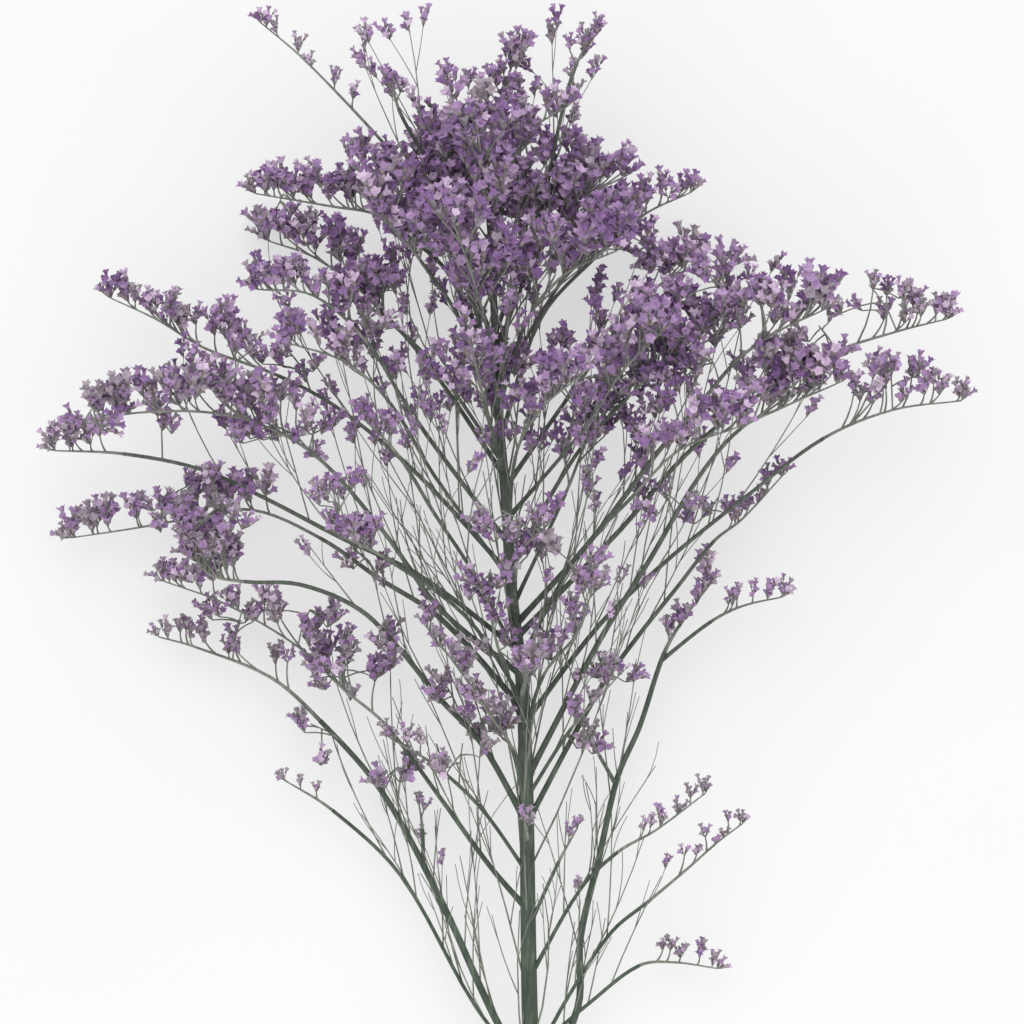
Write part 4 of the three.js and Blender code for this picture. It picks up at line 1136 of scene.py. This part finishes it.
class Nodes:
    """Shorthand for building one material's nodes."""

    def __init__(self, name):
        self.material = bpy.data.materials.new(name)
        self.material.use_nodes = True
        self.tree = self.material.node_tree
        self.shader = self.tree.nodes["Principled BSDF"]
        self.place = self.tree.nodes.new("ShaderNodeTexCoord").outputs["Object"]

    def link(self, output, target):
        self.tree.links.new(output, target)

    def stretched(self, scale):
        mapping = self.tree.nodes.new("ShaderNodeMapping")
        mapping.inputs["Scale"].default_value = scale
        self.link(self.place, mapping.inputs["Vector"])
        return mapping.outputs["Vector"]

    def noise(self, size, detail=2.0, stretch=(1, 1, 1)):
        """Smooth noise whose patches are about this many millimetres across."""
        node = self.tree.nodes.new("ShaderNodeTexNoise")
        node.inputs["Scale"].default_value = 1 / (size * METRES)
        node.inputs["Detail"].default_value = detail
        self.link(self.stretched(stretch), node.inputs["Vector"])
        return node.outputs["Fac"]

    def ramp(self, factor, shades, places):
        """Shades that follow each other at these places as the factor rises."""
        node = self.tree.nodes.new("ShaderNodeValToRGB")
        first, last = node.color_ramp.elements
        first.position, first.color = places[0], (*shades[0], 1)
        last.position, last.color = places[-1], (*shades[-1], 1)
        for place, shade in zip(places[1:-1], shades[1:-1]):
            node.color_ramp.elements.new(place).color = (*shade, 1)
        self.link(factor, node.inputs["Fac"])
        return node.outputs["Color"]

    def mix(self, factor, first, second):
        node = self.tree.nodes.new("ShaderNodeMix")
        node.data_type = "RGBA"
        for value, socket in ((factor, node.inputs[0]), (first, node.inputs[6]), (second, node.inputs[7])):
            if isinstance(value, bpy.types.NodeSocket):
                self.link(value, socket)
            else:
                socket.default_value = value
        return node.outputs[2]

    def along(self, axis, start, end):
        """A share that rises from 0 to 1 between two places on an axis, in metres."""
        split = self.tree.nodes.new("ShaderNodeSeparateXYZ")
        self.link(self.place, split.inputs["Vector"])
        reach = self.tree.nodes.new("ShaderNodeMapRange")
        reach.inputs["From Min"].default_value = start
        reach.inputs["From Max"].default_value = end
        self.link(split.outputs[axis], reach.inputs["Value"])
        return reach.outputs["Result"]

    def remap(self, value, low, high):
        reach = self.tree.nodes.new("ShaderNodeMapRange")
        reach.inputs["To Min"].default_value = low
        reach.inputs["To Max"].default_value = high
        self.link(value, reach.inputs["Value"])
        return reach.outputs["Result"]

    def bump(self, height, strength, depth):
        node = self.tree.nodes.new("ShaderNodeBump")
        node.inputs["Strength"].default_value = strength
        node.inputs["Distance"].default_value = depth * METRES
        self.link(height, node.inputs["Height"])
        self.link(node.outputs["Normal"], self.shader.inputs["Normal"])


# Where the dark, middle and pale shade of a finish lie on its mottle.
SHADE_PLACES = [0.3, 0.5, 0.72]

# Sizes of the patches in the finishes, in millimetres; where the stem turns from green to grey, in metres
# up the frame; and a relief's strength and its depth in millimetres.
STREAK_SIZE = 1.1
STREAK_STRETCH = (1, 0.12, 1)
BLOTCH_SIZE = 9
BLOTCH_SHARE = 0.4
GREEN_TO_GREY = [-0.2, 0.12]
PETAL_PATCH_SIZE = 1.5
CLUMP_PATCH_SIZE = 14
CLUMP_PATCH_SHARE = 0.45
CREASE_SIZE = 0.35
WOOD_SHINE = 0.3
WOOD_RELIEF = [0.5, 0.12]
PETAL_ROUGHNESS = [0.62, 0.92]
PETAL_SHINE = 0.25
PETAL_SHEEN = 0.15
PETAL_RELIEF = [0.4, 0.06]


def woody(name, low_shades, high_shades, rough):
    """Dried stem: streaked along its length, dark green at the foot and greyer towards the flowers."""
    nodes = Nodes(name)
    streaks = nodes.noise(STREAK_SIZE, 3, STREAK_STRETCH)
    blotches = nodes.noise(BLOTCH_SIZE, 2)
    mottle = nodes.mix(BLOTCH_SHARE, streaks, blotches)
    low = nodes.ramp(mottle, low_shades, SHADE_PLACES)
    high = nodes.ramp(mottle, high_shades, SHADE_PLACES)
    colour = nodes.mix(nodes.along("Y", *GREEN_TO_GREY), low, high)
    nodes.link(colour, nodes.shader.inputs["Base Color"])
    nodes.link(nodes.remap(streaks, *rough), nodes.shader.inputs["Roughness"])
    nodes.shader.inputs["Specular IOR Level"].default_value = WOOD_SHINE
    nodes.bump(streaks, *WOOD_RELIEF)
    return nodes.material


def papery(name, shades):
    """Dried petal: colour that changes from floret to floret and within each, finely creased."""
    nodes = Nodes(name)
    within = nodes.noise(PETAL_PATCH_SIZE, 3)
    among = nodes.noise(CLUMP_PATCH_SIZE, 2)
    mottle = nodes.mix(CLUMP_PATCH_SHARE, within, among)
    nodes.link(nodes.ramp(mottle, shades, SHADE_PLACES), nodes.shader.inputs["Base Color"])
    nodes.link(nodes.remap(within, *PETAL_ROUGHNESS), nodes.shader.inputs["Roughness"])
    nodes.shader.inputs["Specular IOR Level"].default_value = PETAL_SHINE
    nodes.shader.inputs["Sheen Weight"].default_value = PETAL_SHEEN
    nodes.bump(nodes.noise(CREASE_SIZE, 2), *PETAL_RELIEF)
    return nodes.material


def plant_finishes():
    """A material for each finish, by its number, each with a dark, a middle and a pale shade."""
    return {
        BARK: woody(
            "stem_bark",
            [(0.018, 0.036, 0.022), (0.036, 0.064, 0.04), (0.09, 0.13, 0.09)],
            [(0.05, 0.062, 0.048), (0.1, 0.115, 0.095), (0.19, 0.205, 0.17)],
            (0.55, 0.85),
        ),
        GREEN_TWIG: woody(
            "fine_twig",
            [(0.08, 0.1, 0.075), (0.16, 0.185, 0.145), (0.28, 0.3, 0.25)],
            [(0.1, 0.105, 0.09), (0.19, 0.2, 0.175), (0.3, 0.3, 0.27)],
            (0.6, 0.9),
        ),
        BRACT: papery(
            "bract",
            [(0.09, 0.075, 0.085), (0.2, 0.17, 0.185), (0.36, 0.32, 0.32)],
        ),
        VIOLET: papery(
            "floret_violet",
            [(0.2, 0.117, 0.235), (0.36, 0.23, 0.415), (0.53, 0.385, 0.57)],
        ),
        LILAC: papery(
            "floret_lilac",
            [(0.36, 0.255, 0.39), (0.54, 0.415, 0.56), (0.72, 0.61, 0.72)],
        ),
        DEEP_VIOLET: papery(
            "floret_deep_violet",
            [(0.12, 0.062, 0.155), (0.24, 0.13, 0.305), (0.4, 0.255, 0.47)],
        ),
        FADED: papery(
            "floret_faded",
            [(0.2, 0.165, 0.2), (0.33, 0.28, 0.33), (0.48, 0.42, 0.47)],
        ),
    }


def make_piece(name, shape, finishes, nodes, smooth):
    """A mesh in metres in the frame, on the body of the part, with the finishes that it uses."""
    points = np.concatenate(shape.points)
    points[:, 2] = np.maximum(points[:, 2], SURFACE_TOP)
    faces = np.concatenate(shape.faces).astype(np.int32)
    shown = np.concatenate(shape.finishes)
    mesh = bpy.data.meshes.new(name)
    mesh.vertices.add(len(points))
    mesh.vertices.foreach_set("co", ((points + SHIFT) * METRES).astype(np.float32).ravel())
    mesh.loops.add(faces.size)
    mesh.loops.foreach_set("vertex_index", faces.ravel())
    mesh.polygons.add(len(faces))
    mesh.polygons.foreach_set("loop_start", np.arange(0, faces.size, 3, dtype=np.int32))
    used, indices = np.unique(shown, return_inverse=True)
    for number in used:
        mesh.materials.append(finishes[number])
    mesh.polygons.foreach_set("material_index", indices.astype(np.int32))
    mesh.polygons.foreach_set("use_smooth", np.full(len(faces), smooth))
    mesh.update(calc_edges=True)
    mesh.validate()
    piece = bpy.data.objects.new(name, mesh)
    bpy.context.scene.collection.objects.link(piece)
    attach(piece, "root")
    if nodes:
        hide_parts(*nodes)


# Room: a pale floor under soft light from all round, with a little more from the top of the picture. The
# floor gives some light of its own, which keeps the shadows faint.
FLOOR_HALF = 5.0
FLOOR_PATCH_SIZE = 180
FLOOR_SHADES = [(0.345, 0.345, 0.345), (0.355, 0.355, 0.355)]
FLOOR_SHADE_PLACES = [0.3, 0.7]
FLOOR_ROUGHNESS = 0.9
FLOOR_SHINE = 0.1
FLOOR_GLOW = 1.48
SKY_STRENGTH = 1.14
SUN_STRENGTH = 0.75
SUN_ANGLE = 50
SUN_TILT = 38


def make_floor():
    """A wide pale floor, its tint a little uneven."""
    nodes = Nodes("pale_floor")
    tint = nodes.ramp(nodes.noise(FLOOR_PATCH_SIZE, 2), FLOOR_SHADES, FLOOR_SHADE_PLACES)
    nodes.link(tint, nodes.shader.inputs["Base Color"])
    nodes.link(tint, nodes.shader.inputs["Emission Color"])
    nodes.shader.inputs["Emission Strength"].default_value = FLOOR_GLOW
    nodes.shader.inputs["Roughness"].default_value = FLOOR_ROUGHNESS
    nodes.shader.inputs["Specular IOR Level"].default_value = FLOOR_SHINE
    half = FLOOR_HALF
    mesh = bpy.data.meshes.new("floor")
    corners = [(-half, -half, 0), (half, -half, 0), (half, half, 0), (-half, half, 0)]
    mesh.from_pydata(corners, [], [(0, 1, 2, 3)])
    mesh.materials.append(nodes.material)
    floor = bpy.data.objects.new("floor", mesh)
    bpy.context.scene.collection.objects.link(floor)


def make_light():
    """A white room, and a broad soft lamp tilted towards the top of the picture."""
    world = bpy.data.worlds.new("soft_room")
    world.use_nodes = True
    world.node_tree.nodes["Background"].inputs["Color"].default_value = (1, 1, 1, 1)
    world.node_tree.nodes["Background"].inputs["Strength"].default_value = SKY_STRENGTH
    bpy.context.scene.world = world
    lamp = bpy.data.lights.new("soft_top_light", "SUN")
    lamp.energy = SUN_STRENGTH
    lamp.angle = math.radians(SUN_ANGLE)
    sun = bpy.data.objects.new("soft_top_light", lamp)
    sun.rotation_euler = (math.radians(-SUN_TILT), 0, 0)
    bpy.context.scene.collection.objects.link(sun)


# Camera: straight above, the picture's middle and width measured on the plant in millimetres.
VIEW_MIDDLE = [-5.1, 160.3]
VIEW_WIDTH = 327.7
VIEW_LEVEL = 45
CAMERA_DISTANCE = 4.0
FILM_WIDTH = 36
FARTHEST_SEEN = 50


def make_camera():
    """A long lens far above the plant, which looks straight down."""
    lens = bpy.data.cameras.new("camera")
    lens.sensor_width = FILM_WIDTH
    lens.lens = FILM_WIDTH * CAMERA_DISTANCE / (VIEW_WIDTH * METRES)
    lens.clip_end = FARTHEST_SEEN
    camera = bpy.data.objects.new("camera", lens)
    middle = (np.array([*VIEW_MIDDLE, VIEW_LEVEL]) + SHIFT) * METRES
    camera.location = Vector(middle) + Vector((0, 0, CAMERA_DISTANCE))
    bpy.context.scene.collection.objects.link(camera)
    bpy.context.scene.camera = camera


# Half the width of the plant's centre, for sorting sprigs.
CENTRE_HALF = 25


def side_of(x):
    """Which third of the plant a place is in."""
    if abs(x - PLANT_HEART[0]) < CENTRE_HALF:
        return "centre"
    return "left" if x < PLANT_HEART[0] else "right"


def dress_plant(stem, branches):
    """Every piece of the plant: the stem, each spray's twigs and florets, and the shoots between."""
    finishes = plant_finishes()
    random = np.random.default_rng(LOOKS_SEED)
    forms = [floret_form(random) for _ in range(FLORET_FORMS)]
    faces, is_bract = floret_faces()
    make_piece("stem_wood", dress_stem(stem, branches), finishes, ["stem"], True)
    for index, branch in enumerate(branches):
        random = np.random.default_rng(LOOKS_SEED + index + 1)
        twigs, flowers, florets = dress_spray(branch, random)
        florets.put_on(flowers, forms, faces, is_bract, random)
        node = "spray_" + branch["name"]
        make_piece("twigs_" + branch["name"], twigs, finishes, [node], True)
        make_piece("florets_" + branch["name"], flowers, finishes, [node], False)
    for side in ("left", "centre", "right"):
        random = np.random.default_rng(LOOKS_SEED + len(side))
        twigs, flowers, florets = Shape(), Shape(), Florets()
        for branch in branches:
            if branch["name"].startswith(side):
                branch_shoots(branch, twigs, flowers, florets, random)
        for sprig in SPRIGS:
            if side_of(sprig[0]) == side:
                grow_sprig(branches, sprig, twigs, flowers, florets, random)
        if side == "centre":
            stem_shoots(twigs, flowers, florets, random)
        florets.put_on(flowers, forms, faces, is_bract, random)
        make_piece("shoots_" + side, twigs, finishes, [], True)
        make_piece("shoot_florets_" + side, flowers, finishes, [], False)


PLANT_STEM, PLANT_BRANCHES = grow_plant()
SHIFT = shift_to_frame(PLANT_STEM, PLANT_BRANCHES)
PLANT_ROOM = [np.array(corner) / METRES - SHIFT for corner in CAD_BOX]
bpy.context.scene.view_settings.view_transform = "Standard"
make_floor()
make_light()
make_camera()
dress_plant(PLANT_STEM, PLANT_BRANCHES)
